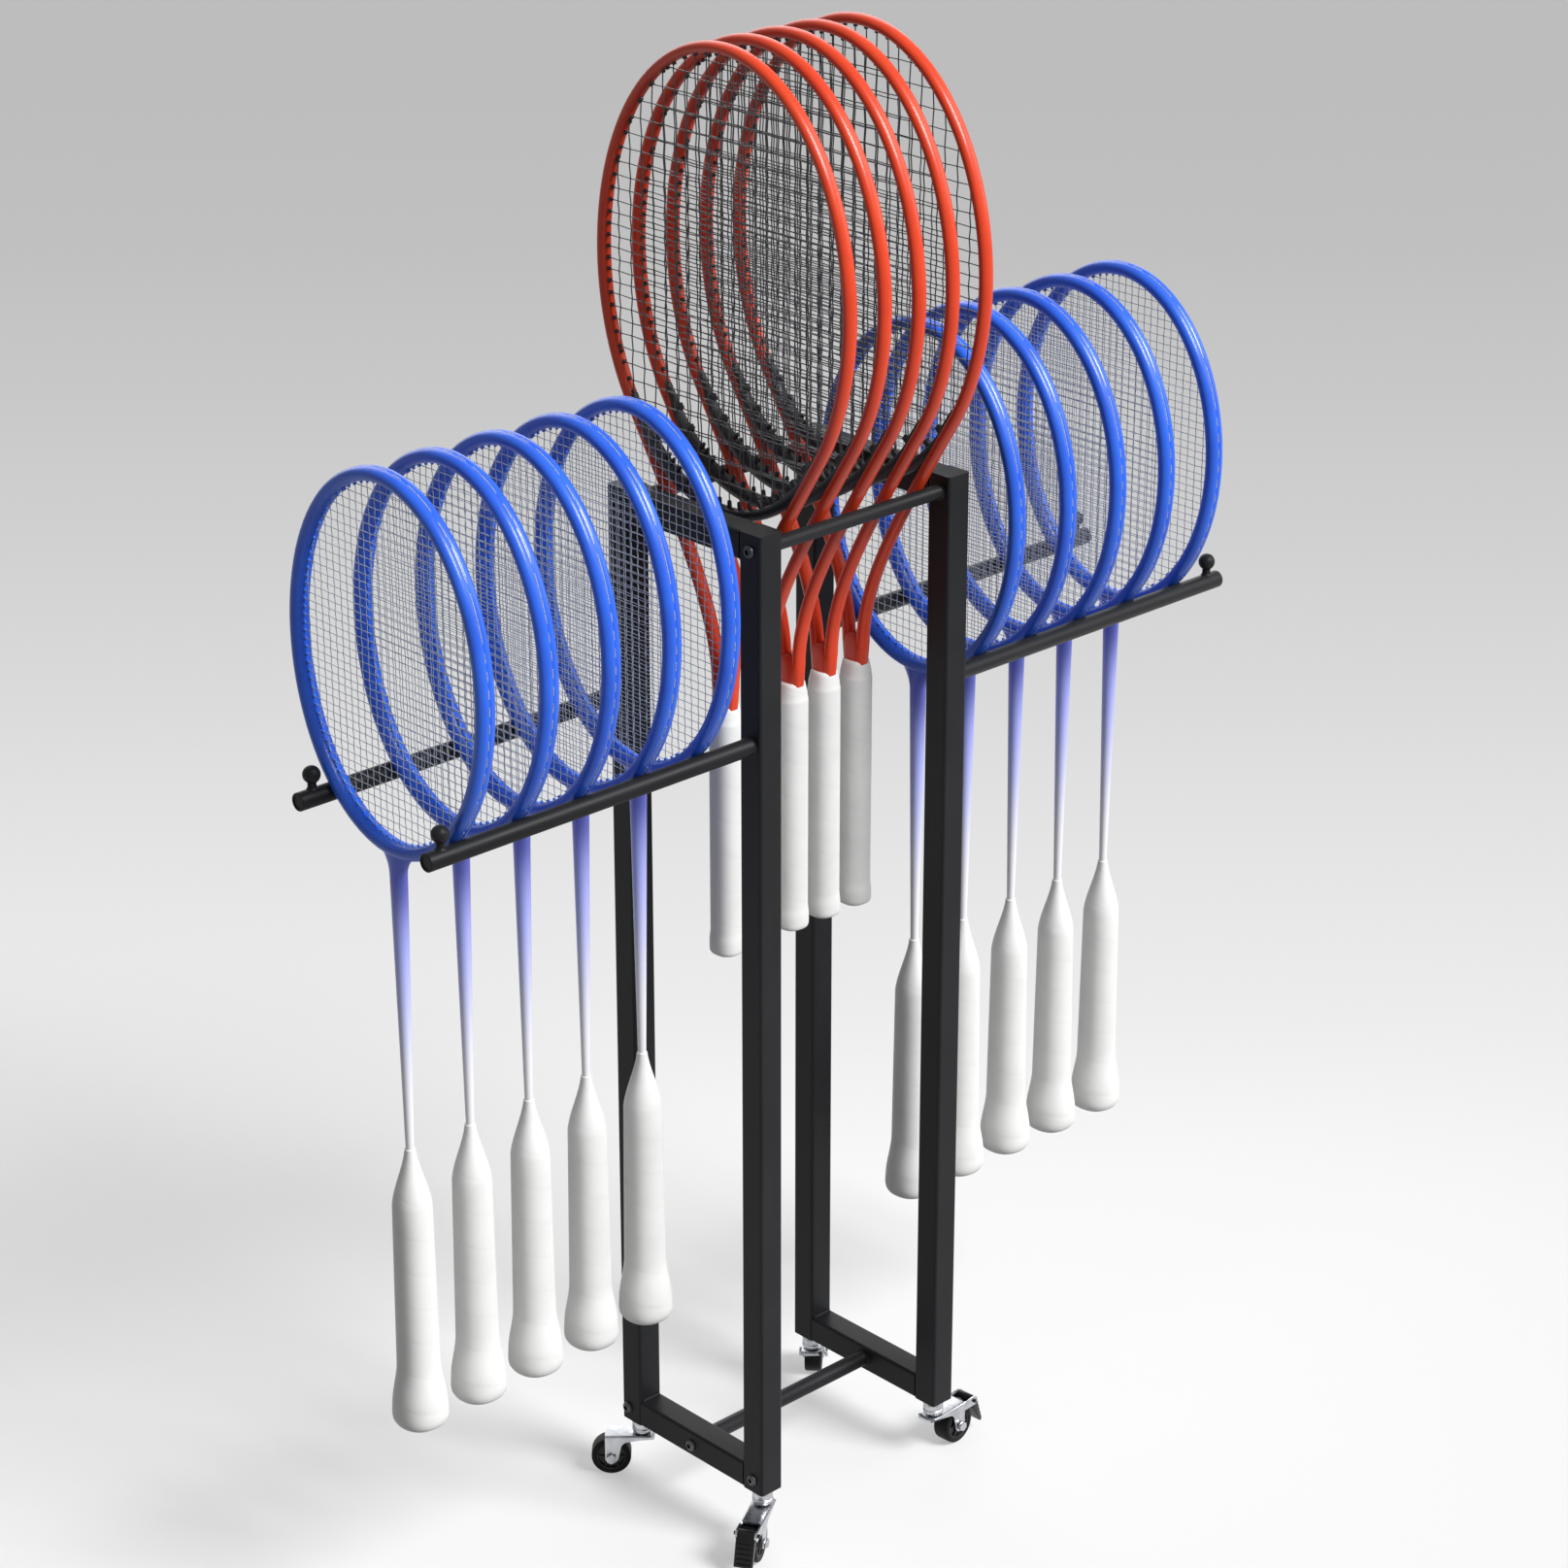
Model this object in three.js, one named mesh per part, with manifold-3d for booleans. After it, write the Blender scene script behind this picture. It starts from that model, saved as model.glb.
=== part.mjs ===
// Racket display stand with its rackets.
//
// Two end frames of square tube stand on four swivel casters and are joined by
// three round bars. Five tennis rackets drop throat first into the slot between
// the two top bars, and five badminton rackets hang by their heads in each pair
// of side arms. Lengths are in millimetres and angles in degrees. The floor is
// at z = 0, x runs along the arms and y from the front of the stand to its back.

import * as THREE from 'three';
import { mergeVertices } from 'three/addons/utils/BufferGeometryUtils.js';
import Module from 'manifold-3d';

const { Manifold, Mesh: SolidMesh } = await Module().then((wasm) => {
  wasm.setup();
  return wasm;
});

// End frames: welded square tube, standing on the casters.
const frameSpan = 194; // over the outer faces, along x
const frameDepth = 150; // over the outer faces, along y
const frameHeight = 725;
const tubeSize = 20;
const tubeCorner = 2;
const tubeWall = 1.5;

// Round bars between the end frames.
const topBarDiameter = 10;
const topBarDrop = 12; // from the top of the frames to the bar's axis
const crossbarDiameter = 12;

// Side arms and the ball stops near their tips.
const armDiameter = 12.5;
const armLength = 273;
const armWall = 1.2;
const armHeight = 623; // floor to the arm's axis
const armCapRim = 1.5;
const armCapDepth = 0.8;
const armCapThickness = 2;
const ballDiameter = 12;
const ballInset = 12; // from the tip to the ball's centre
const ballRise = 16; // from the arm's axis to the ball's centre
const ballNeckDiameter = 6;

// Casters.
const casterHeight = 46; // floor to the underside of the posts
const casterTrail = 23; // swivel axis to wheel axis
const wheelDiameter = 30;
const wheelWidth = 13;
const treadRound = 1.5;
const rimDiameter = 22;
const webThickness = 8;
const hubDiameter = 10;
const axleDiameter = 4.6;
const axleHeadDiameter = 7;
const axleHeadThickness = 0.8;
const forkSheet = 1.6;
const forkSideGap = 0.8; // between a fork leg and the wheel
const forkDrop = 14; // underside of the post to the underside of the fork plate
const forkBossDiameter = 9;
const forkLegBack = 6; // from the swivel axis to the leg's rear edge at the plate
const stemDiameter = 7;
const stemInsertLength = 24; // square insert in the foot of the post
const stemCollarDiameter = 17;
const stemCollarThickness = 2.5;
const stemCupDiameter = 15; // swivel housing between the collar and the fork
const rivetThickness = 1.8;

// Brake pedals on the two front casters, drawn raised. Each hangs between two
// lugs of its fork, behind the wheel.
const pedalPivotReach = 15; // from the wheel axis out along the trail
const pedalLugRadius = 4;
const pedalLength = 24;
const pedalThickness = 6.6; // at the pivot
const pedalTipThickness = 2.4;
const pedalShoulder = 5; // where the pedal starts to taper
const pedalSlope = 60;
const pedalPinDiameter = 3;

// Badminton rackets.
const badmintonLength = 676;
const badmintonHeadHeight = 258;
const badmintonHeadWidth = 194;
const badmintonRimWidth = 9.5; // in the plane of the strings
const badmintonRimDepth = 13.5;
const badmintonJointSpread = 36; // width of the T-joint where it leaves the head
const badmintonJointHeight = 17;
const badmintonShaftTop = 11.5;
const badmintonShaftBottom = 5.6;
const badmintonHandleLength = 208; // cone and grip
const badmintonConeLength = 37;
const badmintonConeLip = 0.9; // wall of the cone's tip, round the shaft
const badmintonGripTop = 27;
const badmintonGripBottom = 29.6;
const badmintonButt = 38.4;
const badmintonButtHeight = 14;
const badmintonFlareHeight = 36;
const badmintonSocketDepth = 60;

// Tennis rackets, junior size.
const tennisLength = 635;
const tennisHeadHeight = 317;
const tennisHeadWidth = 242;
const tennisRimWidth = 7.5;
const tennisRimDepth = 10.5;
const tennisGripLength = 185;
const tennisGripWidth = 23;
const tennisGripCollar = 19;
const tennisCollarHeight = 12;
const tennisButt = 24.4;
const tennisButtHeight = 9;
const tennisBlockHeight = 19.5; // solid part of the throat above the grip
const tennisBlockWidth = 21;
const tennisStubDiameter = 12;
const tennisStubDepth = 70;
const throatLeaveAngle = 130; // where the throat leaves the hoop, from its top
const throatReach = 92; // pull of the throat's curve at the hoop
const throatSettle = 48; // and at the solid part
const bridgeWidth = 8;
const bridgeDepth = 9;

// Strings, drawn as a sparse net: the mains lie in one layer and the crosses in
// the next.
const stringWidth = 1.4;
const stringLayerGap = 0.3;
const mainStrings = 6;
const crossStrings = 9;

// Where the rackets are. Each row runs along x and is spread evenly between its
// first and last racket.
const rowCount = 5;
const leftRowInset = 41.5; // from the frame to the innermost racket
const leftRowMargin = 28.7; // from the outermost racket to the arms' tips
const rightRowInset = 29;
const rightRowMargin = 41.2;
const topRowInset = 18.2; // from the left post to the first racket
const topRowMargin = 0.6; // from the last racket's butt to the right post

// Clearances.
const restClearance = 0.3; // between a racket and the bars it rests on
const fitClearance = 0.3; // round a pin, shaft or plate in its seat
const overrun = 1; // by which a cutting tool passes a face

// Facets.
const barSides = 14;
const ballSides = 10;
const wheelSides = 16;
const pinSides = 8;
const rimSegments = 24;
const throatSegments = 5;
const bridgeSegments = 5;
const handleSides = 8;

// Headings of the casters about z: the side to which each wheel trails.
const casterHeading = { left_front: 210, left_back: 137, right_front: 4, right_back: 43 };
const brakedCasters = ['left_front', 'right_front'];

const powderCoat = new THREE.MeshStandardMaterial({ color: 0x26272a, roughness: 0.5, metalness: 0.3 });
const zinc = new THREE.MeshStandardMaterial({ color: 0xb9bbbd, roughness: 0.3, metalness: 1 });
const tread = new THREE.MeshStandardMaterial({ color: 0x17181a, roughness: 0.6, metalness: 0 });
const pedalPlastic = new THREE.MeshStandardMaterial({ color: 0x1d1e20, roughness: 0.5, metalness: 0 });
const redLacquer = new THREE.MeshStandardMaterial({ color: 0xe8482a, roughness: 0.35, metalness: 0 });
const blueLacquer = new THREE.MeshStandardMaterial({ color: 0x2f5fe8, roughness: 0.3, metalness: 0 });
const whiteGrip = new THREE.MeshStandardMaterial({ color: 0xeeeeec, roughness: 0.7, metalness: 0 });

const radians = THREE.MathUtils.degToRad;

// Turns a closed geometry into a solid, with its shared vertices welded.
function solid(geometry) {
  geometry.deleteAttribute('normal');
  geometry.deleteAttribute('uv');
  const welded = mergeVertices(geometry);
  const corners = Array.from(welded.index.array);
  const triangles = [];
  for (let i = 0; i < corners.length; i += 3) {
    const [a, b, c] = corners.slice(i, i + 3);
    if (a !== b && b !== c && c !== a) triangles.push(a, b, c);
  }
  return new Manifold(
    new SolidMesh({
      numProp: 3,
      vertProperties: new Float32Array(welded.attributes.position.array),
      triVerts: new Uint32Array(triangles),
    }),
  );
}

// Joins solids into one.
function join(first, ...others) {
  return others.reduce((whole, piece) => whole.add(piece), first);
}

// Makes a named mesh of a solid.
function piece(name, body, material) {
  const { vertProperties, triVerts } = body.getMesh();
  const geometry = new THREE.BufferGeometry();
  geometry.setAttribute('position', new THREE.BufferAttribute(vertProperties, 3));
  geometry.setIndex(new THREE.BufferAttribute(triVerts, 1));
  geometry.computeVertexNormals();
  const mesh = new THREE.Mesh(geometry, material);
  mesh.name = name;
  return mesh;
}

// Skins a row of rings with equal counts of points, each ring anticlockwise as
// seen from the rings after it.
function skin(rings, closed = false) {
  const sides = rings[0].length;
  const index = [];
  const spans = closed ? rings.length : rings.length - 1;
  for (let i = 0; i < spans; i += 1) {
    const near = i * sides;
    const far = ((i + 1) % rings.length) * sides;
    for (let k = 0; k < sides; k += 1) {
      const next = (k + 1) % sides;
      index.push(near + k, near + next, far + next, near + k, far + next, far + k);
    }
  }
  if (!closed) {
    const last = (rings.length - 1) * sides;
    for (let k = 1; k < sides - 1; k += 1) {
      index.push(0, k + 1, k, last, last + k, last + k + 1);
    }
  }
  const geometry = new THREE.BufferGeometry();
  const position = rings.flat().flatMap((point) => point.toArray());
  geometry.setAttribute('position', new THREE.Float32BufferAttribute(position, 3));
  geometry.setIndex(index);
  return geometry;
}

// Lofts elliptical sections up the z axis. A section is [z, width along y,
// depth along x].
function loft(sections, sides) {
  const rings = sections.map(([z, width, depth]) =>
    Array.from({ length: sides }, (_, k) => {
      const angle = ((k + 0.5) / sides) * 2 * Math.PI;
      const flatShare = 1 / Math.cos(Math.PI / sides);
      const x = (Math.cos(angle) * flatShare * depth) / 2;
      const y = (Math.sin(angle) * flatShare * width) / 2;
      return new THREE.Vector3(x, y, z);
    }),
  );
  return skin(rings);
}

// The right-hand normals of a path in the y-z plane.
function pathNormals(path, closed) {
  const count = path.length;
  return path.map((_, i) => {
    const before = path[closed ? (i + count - 1) % count : Math.max(i - 1, 0)];
    const after = path[closed ? (i + 1) % count : Math.min(i + 1, count - 1)];
    const tangent = after.clone().sub(before).normalize();
    return new THREE.Vector2(tangent.y, -tangent.x);
  });
}

// Sweeps a six-sided tube along a path in the y-z plane. Its width lies in the
// plane, from flat to flat, and its depth along x, from edge to edge.
function sweep(path, width, depth, closed = false) {
  const normals = pathNormals(path, closed);
  const corners = [30, 90, 150, 210, 270, 330].map(radians);
  const flatShare = 1 / Math.cos(radians(30));
  const rings = path.map((point, i) =>
    corners.map((angle) => {
      const side = (Math.cos(angle) * flatShare * width) / 2;
      const out = (Math.sin(angle) * depth) / 2;
      return new THREE.Vector3(-out, point.x + normals[i].x * side, point.y + normals[i].y * side);
    }),
  );
  return skin(rings, closed);
}

// The diameter of a faceted hole whose flats stay clear of a round pin.
function clearHole(pinDiameter, sides) {
  return (pinDiameter + 2 * fitClearance) / Math.cos(Math.PI / sides);
}

// A round hole in an outline, for a pin of the given diameter.
function pinHole(x, y, pinDiameter) {
  const hole = new THREE.Path();
  const radius = clearHole(pinDiameter, pinSides) / 2;
  hole.absarc(x, y, radius, 0, -Math.PI, true);
  hole.absarc(x, y, radius, -Math.PI, -2 * Math.PI, true);
  return hole;
}

// A round bar along x that starts at x = 0.
function roundBar(diameter, length, sides) {
  const geometry = new THREE.CylinderGeometry(diameter / 2, diameter / 2, length, sides);
  return geometry.rotateZ(-Math.PI / 2).translate(length / 2, 0, 0);
}

// A pin along y with its middle at the origin.
function crossPin(diameter, length) {
  return new THREE.CylinderGeometry(diameter / 2, diameter / 2, length, pinSides);
}

// Square tube up the z axis, from z = 0.
function squareTube(length) {
  const half = tubeSize / 2;
  const flat = half - tubeCorner;
  const outline = new THREE.Shape();
  outline.moveTo(half, -flat);
  outline.absarc(flat, flat, tubeCorner, 0, Math.PI / 2);
  outline.absarc(-flat, flat, tubeCorner, Math.PI / 2, Math.PI);
  outline.absarc(-flat, -flat, tubeCorner, Math.PI, 1.5 * Math.PI);
  outline.absarc(flat, -flat, tubeCorner, 1.5 * Math.PI, 2 * Math.PI);
  return new THREE.ExtrudeGeometry(outline, { depth: length, bevelEnabled: false, curveSegments: 2 });
}

// A post: tube with a closed top and an open foot for the caster's insert.
function post() {
  const inner = tubeSize - 2 * tubeWall;
  const hollow = new THREE.BoxGeometry(inner, inner, frameHeight - tubeWall + overrun);
  hollow.translate(0, 0, (frameHeight - tubeWall - overrun) / 2);
  return solid(squareTube(frameHeight)).subtract(solid(hollow));
}

// A rail along y with its middle at the origin: tube that the posts close.
function rail() {
  const length = frameDepth - 2 * tubeSize;
  const inner = tubeSize - 2 * tubeWall;
  const hollow = new THREE.BoxGeometry(inner, length + 2 * overrun, inner);
  const tube = squareTube(length).rotateX(-Math.PI / 2).translate(0, -length / 2, 0);
  return solid(tube).subtract(solid(hollow));
}

// A side arm along x from x = 0: a tube that the frame closes at one end and a
// sunk cap at the other, with the ball stop on its neck.
function arm() {
  const radius = armDiameter / 2;
  const hollowEnd = armLength - armCapDepth - armCapThickness;
  const profile = [
    new THREE.Vector2(0, hollowEnd),
    new THREE.Vector2(radius - armWall, hollowEnd),
    new THREE.Vector2(radius - armWall, 0),
    new THREE.Vector2(radius, 0),
    new THREE.Vector2(radius, armLength),
    new THREE.Vector2(radius - armCapRim, armLength),
    new THREE.Vector2(radius - armCapRim, armLength - armCapDepth),
    new THREE.Vector2(0, armLength - armCapDepth),
  ];
  const tube = new THREE.LatheGeometry(profile, barSides).rotateZ(-Math.PI / 2);
  const neckFoot = radius - armWall;
  const neckRadius = ballNeckDiameter / 2;
  const neck = new THREE.CylinderGeometry(neckRadius, neckRadius, ballRise - neckFoot, handleSides);
  neck.rotateX(Math.PI / 2).translate(armLength - ballInset, 0, (ballRise + neckFoot) / 2);
  const ball = new THREE.SphereGeometry(ballDiameter / 2, ballSides, ballSides / 2);
  ball.rotateX(Math.PI / 2).translate(armLength - ballInset, 0, ballRise);
  return join(solid(tube), solid(neck), solid(ball));
}

// The casters stand with a flat of their faceted tread on the floor.
const wheelAxisHeight = (wheelDiameter / 2) * Math.cos(Math.PI / wheelSides);
const forkPlateBottom = casterHeight - forkDrop;
const forkPlateTop = forkPlateBottom + forkSheet;
const forkGap = wheelWidth + 2 * forkSideGap;
const forkWidth = forkGap + 2 * forkSheet;
const rivetDiameter = forkGap - 2 * fitClearance;
const pedalPivotX = casterTrail + pedalPivotReach;
const pedalPivotZ = forkPlateTop - pedalLugRadius;
const forkLegFront = casterTrail + forkBossDiameter / 2;

// The fixed stem: square insert, collar, swivel housing, shank and the rivet
// head under the fork.
function casterStem() {
  const rivetTop = forkPlateBottom - fitClearance;
  const profile = [
    new THREE.Vector2(0, rivetTop - rivetThickness),
    new THREE.Vector2(rivetDiameter / 2 - rivetThickness / 2, rivetTop - rivetThickness),
    new THREE.Vector2(rivetDiameter / 2, rivetTop),
    new THREE.Vector2(stemDiameter / 2, rivetTop),
    new THREE.Vector2(stemDiameter / 2, forkPlateTop + fitClearance),
    new THREE.Vector2(stemCupDiameter / 2, forkPlateTop + fitClearance),
    new THREE.Vector2(stemCupDiameter / 2, casterHeight - stemCollarThickness),
    new THREE.Vector2(stemCollarDiameter / 2, casterHeight - stemCollarThickness),
    new THREE.Vector2(stemCollarDiameter / 2, casterHeight),
    new THREE.Vector2(0, casterHeight),
  ];
  const shank = new THREE.LatheGeometry(profile, pinSides).rotateX(Math.PI / 2);
  const side = tubeSize - 2 * tubeWall - 2 * fitClearance;
  const insert = new THREE.BoxGeometry(side, side, stemInsertLength + stemCollarThickness);
  insert.translate(0, 0, casterHeight + (stemInsertLength - stemCollarThickness) / 2);
  return join(solid(shank), solid(insert));
}

// The swivelling fork: a plate round the stem, two tapering legs and the axle.
// The legs of a braked fork reach out as lugs for the pedal's pin.
function casterFork(braked) {
  const half = forkWidth / 2;
  const plate = new THREE.Shape();
  plate.moveTo(0, -half);
  plate.lineTo(forkLegFront, -half);
  plate.lineTo(forkLegFront, half);
  plate.lineTo(0, half);
  plate.absarc(0, 0, half, Math.PI / 2, 1.5 * Math.PI);
  plate.holes.push(pinHole(0, 0, stemDiameter));
  const sheet = { depth: forkSheet, bevelEnabled: false, curveSegments: pinSides / 2 };
  const top = new THREE.ExtrudeGeometry(plate, sheet).translate(0, 0, forkPlateBottom);

  const boss = forkBossDiameter / 2;
  const leg = new THREE.Shape();
  leg.moveTo(-forkLegBack, forkPlateBottom);
  leg.absarc(casterTrail, wheelAxisHeight, boss, 1.15 * Math.PI, 2 * Math.PI);
  if (braked) {
    leg.lineTo(forkLegFront, pedalPivotZ - pedalLugRadius);
    leg.absarc(pedalPivotX, pedalPivotZ, pedalLugRadius, -Math.PI / 2, Math.PI / 2);
    leg.holes.push(pinHole(pedalPivotX, pedalPivotZ, pedalPinDiameter));
  } else {
    leg.lineTo(forkLegFront, forkPlateTop);
  }
  leg.lineTo(-forkLegBack, forkPlateTop);
  const legs = [half, -forkGap / 2].map((y) =>
    solid(new THREE.ExtrudeGeometry(leg, sheet).rotateX(Math.PI / 2).translate(0, y, 0)),
  );
  const axle = crossPin(axleDiameter, forkWidth).translate(casterTrail, 0, wheelAxisHeight);
  const heads = [half, -half].map((y) => {
    const head = crossPin(axleHeadDiameter, 2 * axleHeadThickness);
    return solid(head.translate(casterTrail, y, wheelAxisHeight));
  });
  return join(solid(top), ...legs, solid(axle), ...heads);
}

// The wheel: hub, web and tread turned about the axle.
function casterWheel() {
  const bore = axleDiameter / 2 + fitClearance;
  const tyre = wheelDiameter / 2;
  const half = wheelWidth / 2;
  const profile = [
    new THREE.Vector2(bore, -half),
    new THREE.Vector2(hubDiameter / 2, -half),
    new THREE.Vector2(hubDiameter / 2 + treadRound, -webThickness / 2),
    new THREE.Vector2(rimDiameter / 2, -half),
    new THREE.Vector2(tyre - treadRound, -half),
    new THREE.Vector2(tyre, -half + treadRound),
    new THREE.Vector2(tyre, half - treadRound),
    new THREE.Vector2(tyre - treadRound, half),
    new THREE.Vector2(rimDiameter / 2, half),
    new THREE.Vector2(hubDiameter / 2 + treadRound, webThickness / 2),
    new THREE.Vector2(hubDiameter / 2, half),
    new THREE.Vector2(bore, half),
    new THREE.Vector2(bore, -half),
  ];
  const wheel = new THREE.LatheGeometry(profile, wheelSides);
  wheel.rotateY(Math.PI / wheelSides);
  return solid(wheel.translate(casterTrail, 0, wheelAxisHeight));
}

// A brake pedal between the fork's legs, with its pin through them.
function brakePedal() {
  const heel = pedalThickness / 2;
  const side = new THREE.Shape();
  side.moveTo(0, -heel);
  side.lineTo(pedalLength, -heel);
  side.lineTo(pedalLength, -heel + pedalTipThickness);
  side.lineTo(pedalShoulder, heel);
  side.lineTo(0, heel);
  side.absarc(0, 0, heel, Math.PI / 2, 1.5 * Math.PI);
  const width = forkGap - 2 * fitClearance;
  const lever = new THREE.ExtrudeGeometry(side, { depth: width, bevelEnabled: false, curveSegments: 4 });
  lever.rotateX(Math.PI / 2).translate(0, width / 2, 0).rotateY(radians(pedalSlope));
  const pin = crossPin(pedalPinDiameter, forkWidth + 2 * axleHeadThickness);
  return join(solid(lever), solid(pin)).translate([pedalPivotX, 0, pedalPivotZ]);
}

// Points along an arc of an ellipse in the y-z plane, both ends included. Its
// angles run anticlockwise from the +y side.
function ellipseArc(width, height, from, to, segments) {
  return Array.from({ length: segments + 1 }, (_, i) => {
    const angle = radians(from + ((to - from) * i) / segments);
    return new THREE.Vector2((Math.cos(angle) * width) / 2, (Math.sin(angle) * height) / 2);
  });
}

// The string bed of a head: mains up the head and crosses over it, spread
// evenly and ending inside the rim.
function stringBed(width, height) {
  const layer = (stringWidth + stringLayerGap) / 2;
  const bars = [];
  for (let i = 1; i <= mainStrings; i += 1) {
    const share = (2 * i) / (mainStrings + 1) - 1;
    const length = height * Math.sqrt(1 - share ** 2);
    bars.push(new THREE.BoxGeometry(stringWidth, stringWidth, length).translate(layer, (share * width) / 2, 0));
  }
  for (let i = 1; i <= crossStrings; i += 1) {
    const share = (2 * i) / (crossStrings + 1) - 1;
    const length = width * Math.sqrt(1 - share ** 2);
    bars.push(new THREE.BoxGeometry(stringWidth, length, stringWidth).translate(-layer, 0, (share * height) / 2));
  }
  return bars.map(solid);
}

// How high a racket's own origin stands when the outer edge of its frame rests
// on a bar along x, on the +y side.
function seatHeight(edge, barY, barZ, barDiameter) {
  const reach = barDiameter / 2 + restClearance;
  const samples = 40;
  let height = -Infinity;
  for (let i = 0; i + 1 < edge.length; i += 1) {
    for (let s = 0; s <= samples; s += 1) {
      const point = edge[i].clone().lerp(edge[i + 1], s / samples);
      const off = point.x - barY;
      if (Math.abs(off) < reach) {
        height = Math.max(height, barZ + Math.sqrt(reach ** 2 - off ** 2) - point.y);
      }
    }
  }
  return height;
}

// The outer edge of a tube swept anticlockwise.
function outerEdge(path, width, closed = false) {
  const normals = pathNormals(path, closed);
  return path.map((point, i) => point.clone().addScaledVector(normals[i], width / 2));
}

const barY = (frameDepth - tubeSize) / 2;
const frameTop = casterHeight + frameHeight;
const topBarZ = frameTop - topBarDrop;

// Badminton racket, with its origin at the middle of the head.
const badmintonRim = ellipseArc(
  badmintonHeadWidth - badmintonRimWidth,
  badmintonHeadHeight - badmintonRimWidth,
  -180,
  180,
  rimSegments,
).slice(1);
const badmintonHeadBottom = -badmintonHeadHeight / 2;
const badmintonHandleTop = badmintonHeadHeight / 2 - badmintonLength + badmintonHandleLength;
const badmintonSeat = seatHeight(
  outerEdge(badmintonRim, badmintonRimWidth, true),
  barY,
  armHeight,
  armDiameter,
);

// Hoop, strings, and the T-joint that runs down into the tapering shaft.
function badmintonFrame() {
  const hoop = solid(sweep(badmintonRim, badmintonRimWidth, badmintonRimDepth, true));
  const jointBottom = badmintonHeadBottom - badmintonJointHeight;
  const shaft = loft(
    [
      [badmintonHandleTop - badmintonSocketDepth, badmintonShaftBottom, badmintonShaftBottom],
      [badmintonHandleTop, badmintonShaftBottom, badmintonShaftBottom],
      [jointBottom, badmintonShaftTop, badmintonShaftTop],
      [badmintonHeadBottom - badmintonJointHeight / 3, badmintonJointSpread / 2, badmintonShaftTop],
      [badmintonHeadBottom + badmintonRimWidth / 2, badmintonJointSpread, badmintonRimWidth],
    ],
    handleSides,
  );
  const innerWidth = badmintonHeadWidth - badmintonRimWidth;
  const innerHeight = badmintonHeadHeight - badmintonRimWidth;
  return join(hoop, solid(shaft), ...stringBed(innerWidth, innerHeight));
}

// Handle with its cone, grip and flared butt, and the socket for the shaft.
function badmintonGrip() {
  const bottom = badmintonHeadHeight / 2 - badmintonLength;
  const chamfer = (badmintonButt - badmintonGripBottom) / 4;
  const handle = loft(
    [
      [bottom, badmintonButt - 2 * chamfer, badmintonButt - 2 * chamfer],
      [bottom + chamfer, badmintonButt, badmintonButt],
      [bottom + badmintonButtHeight, badmintonButt - chamfer, badmintonButt - chamfer],
      [bottom + badmintonFlareHeight, badmintonGripBottom, badmintonGripBottom],
      [badmintonHandleTop - badmintonConeLength, badmintonGripTop, badmintonGripTop],
      [
        badmintonHandleTop,
        badmintonShaftBottom + 2 * badmintonConeLip,
        badmintonShaftBottom + 2 * badmintonConeLip,
      ],
    ],
    handleSides,
  );
  const bore = badmintonShaftBottom + 2 * fitClearance;
  const socket = loft(
    [
      [badmintonHandleTop - badmintonSocketDepth - fitClearance, bore, bore],
      [badmintonHandleTop + overrun, bore, bore],
    ],
    handleSides,
  );
  return solid(handle).subtract(solid(socket));
}

// Tennis racket, with its origin at the middle of the head.
const tennisWidth = tennisHeadWidth - tennisRimWidth;
const tennisHeight = tennisHeadHeight - tennisRimWidth;
const tennisGripTop = tennisHeadHeight / 2 - tennisLength + tennisGripLength;
const tennisBlockTop = tennisGripTop + tennisBlockHeight;

// One side of the throat: it leaves the hoop along its tangent, runs in past
// the bar and turns down into the solid part above the grip.
function throatPath(start, heading, side) {
  const end = new THREE.Vector2(
    (side * (tennisBlockWidth - tennisRimWidth)) / 2,
    tennisBlockTop - tennisRimWidth,
  );
  const curve = new THREE.CubicBezierCurve(
    start,
    start.clone().addScaledVector(heading, throatReach),
    end.clone().add(new THREE.Vector2(0, throatSettle)),
    end,
  );
  return curve.getPoints(throatSegments);
}

// The whole frame as one tube, up one side of the throat, over the head and
// down the other side.
function tennisPath() {
  const arc = ellipseArc(tennisWidth, tennisHeight, 90 - throatLeaveAngle, 90 + throatLeaveAngle, rimSegments - bridgeSegments);
  const first = arc[0];
  const last = arc[arc.length - 1];
  const turn = radians(throatLeaveAngle);
  const slope = new THREE.Vector2(tennisWidth * Math.cos(turn), -tennisHeight * Math.sin(turn)).normalize();
  const rise = throatPath(first, slope, 1).reverse();
  const fall = throatPath(last, new THREE.Vector2(-slope.x, slope.y), -1);
  return [...rise, ...arc.slice(1, -1), ...fall];
}

const tennisRim = tennisPath();
const tennisSeat = seatHeight(outerEdge(tennisRim, tennisRimWidth), barY, topBarZ, topBarDiameter);

// Hoop and throat, bridge, strings, and the stub inside the handle.
function tennisFrame() {
  const hoop = solid(sweep(tennisRim, tennisRimWidth, tennisRimDepth));
  const bridgeArc = ellipseArc(
    tennisWidth,
    tennisHeight,
    90 + throatLeaveAngle,
    450 - throatLeaveAngle,
    bridgeSegments,
  );
  const bridge = solid(sweep(bridgeArc, bridgeWidth, bridgeDepth));
  const block = loft(
    [
      [tennisGripTop - tennisStubDepth, tennisStubDiameter, tennisStubDiameter],
      [tennisGripTop + fitClearance, tennisStubDiameter, tennisStubDiameter],
      [tennisGripTop + 2 * fitClearance, tennisBlockWidth - tennisRimWidth / 2, tennisRimDepth + 2 * fitClearance],
      [tennisBlockTop - tennisRimWidth, tennisBlockWidth, tennisRimDepth + 2 * fitClearance],
      [tennisBlockTop, tennisBlockWidth - tennisRimWidth, tennisRimDepth],
    ],
    handleSides,
  );
  return join(hoop, bridge, solid(block), ...stringBed(tennisWidth, tennisHeight));
}

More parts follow.
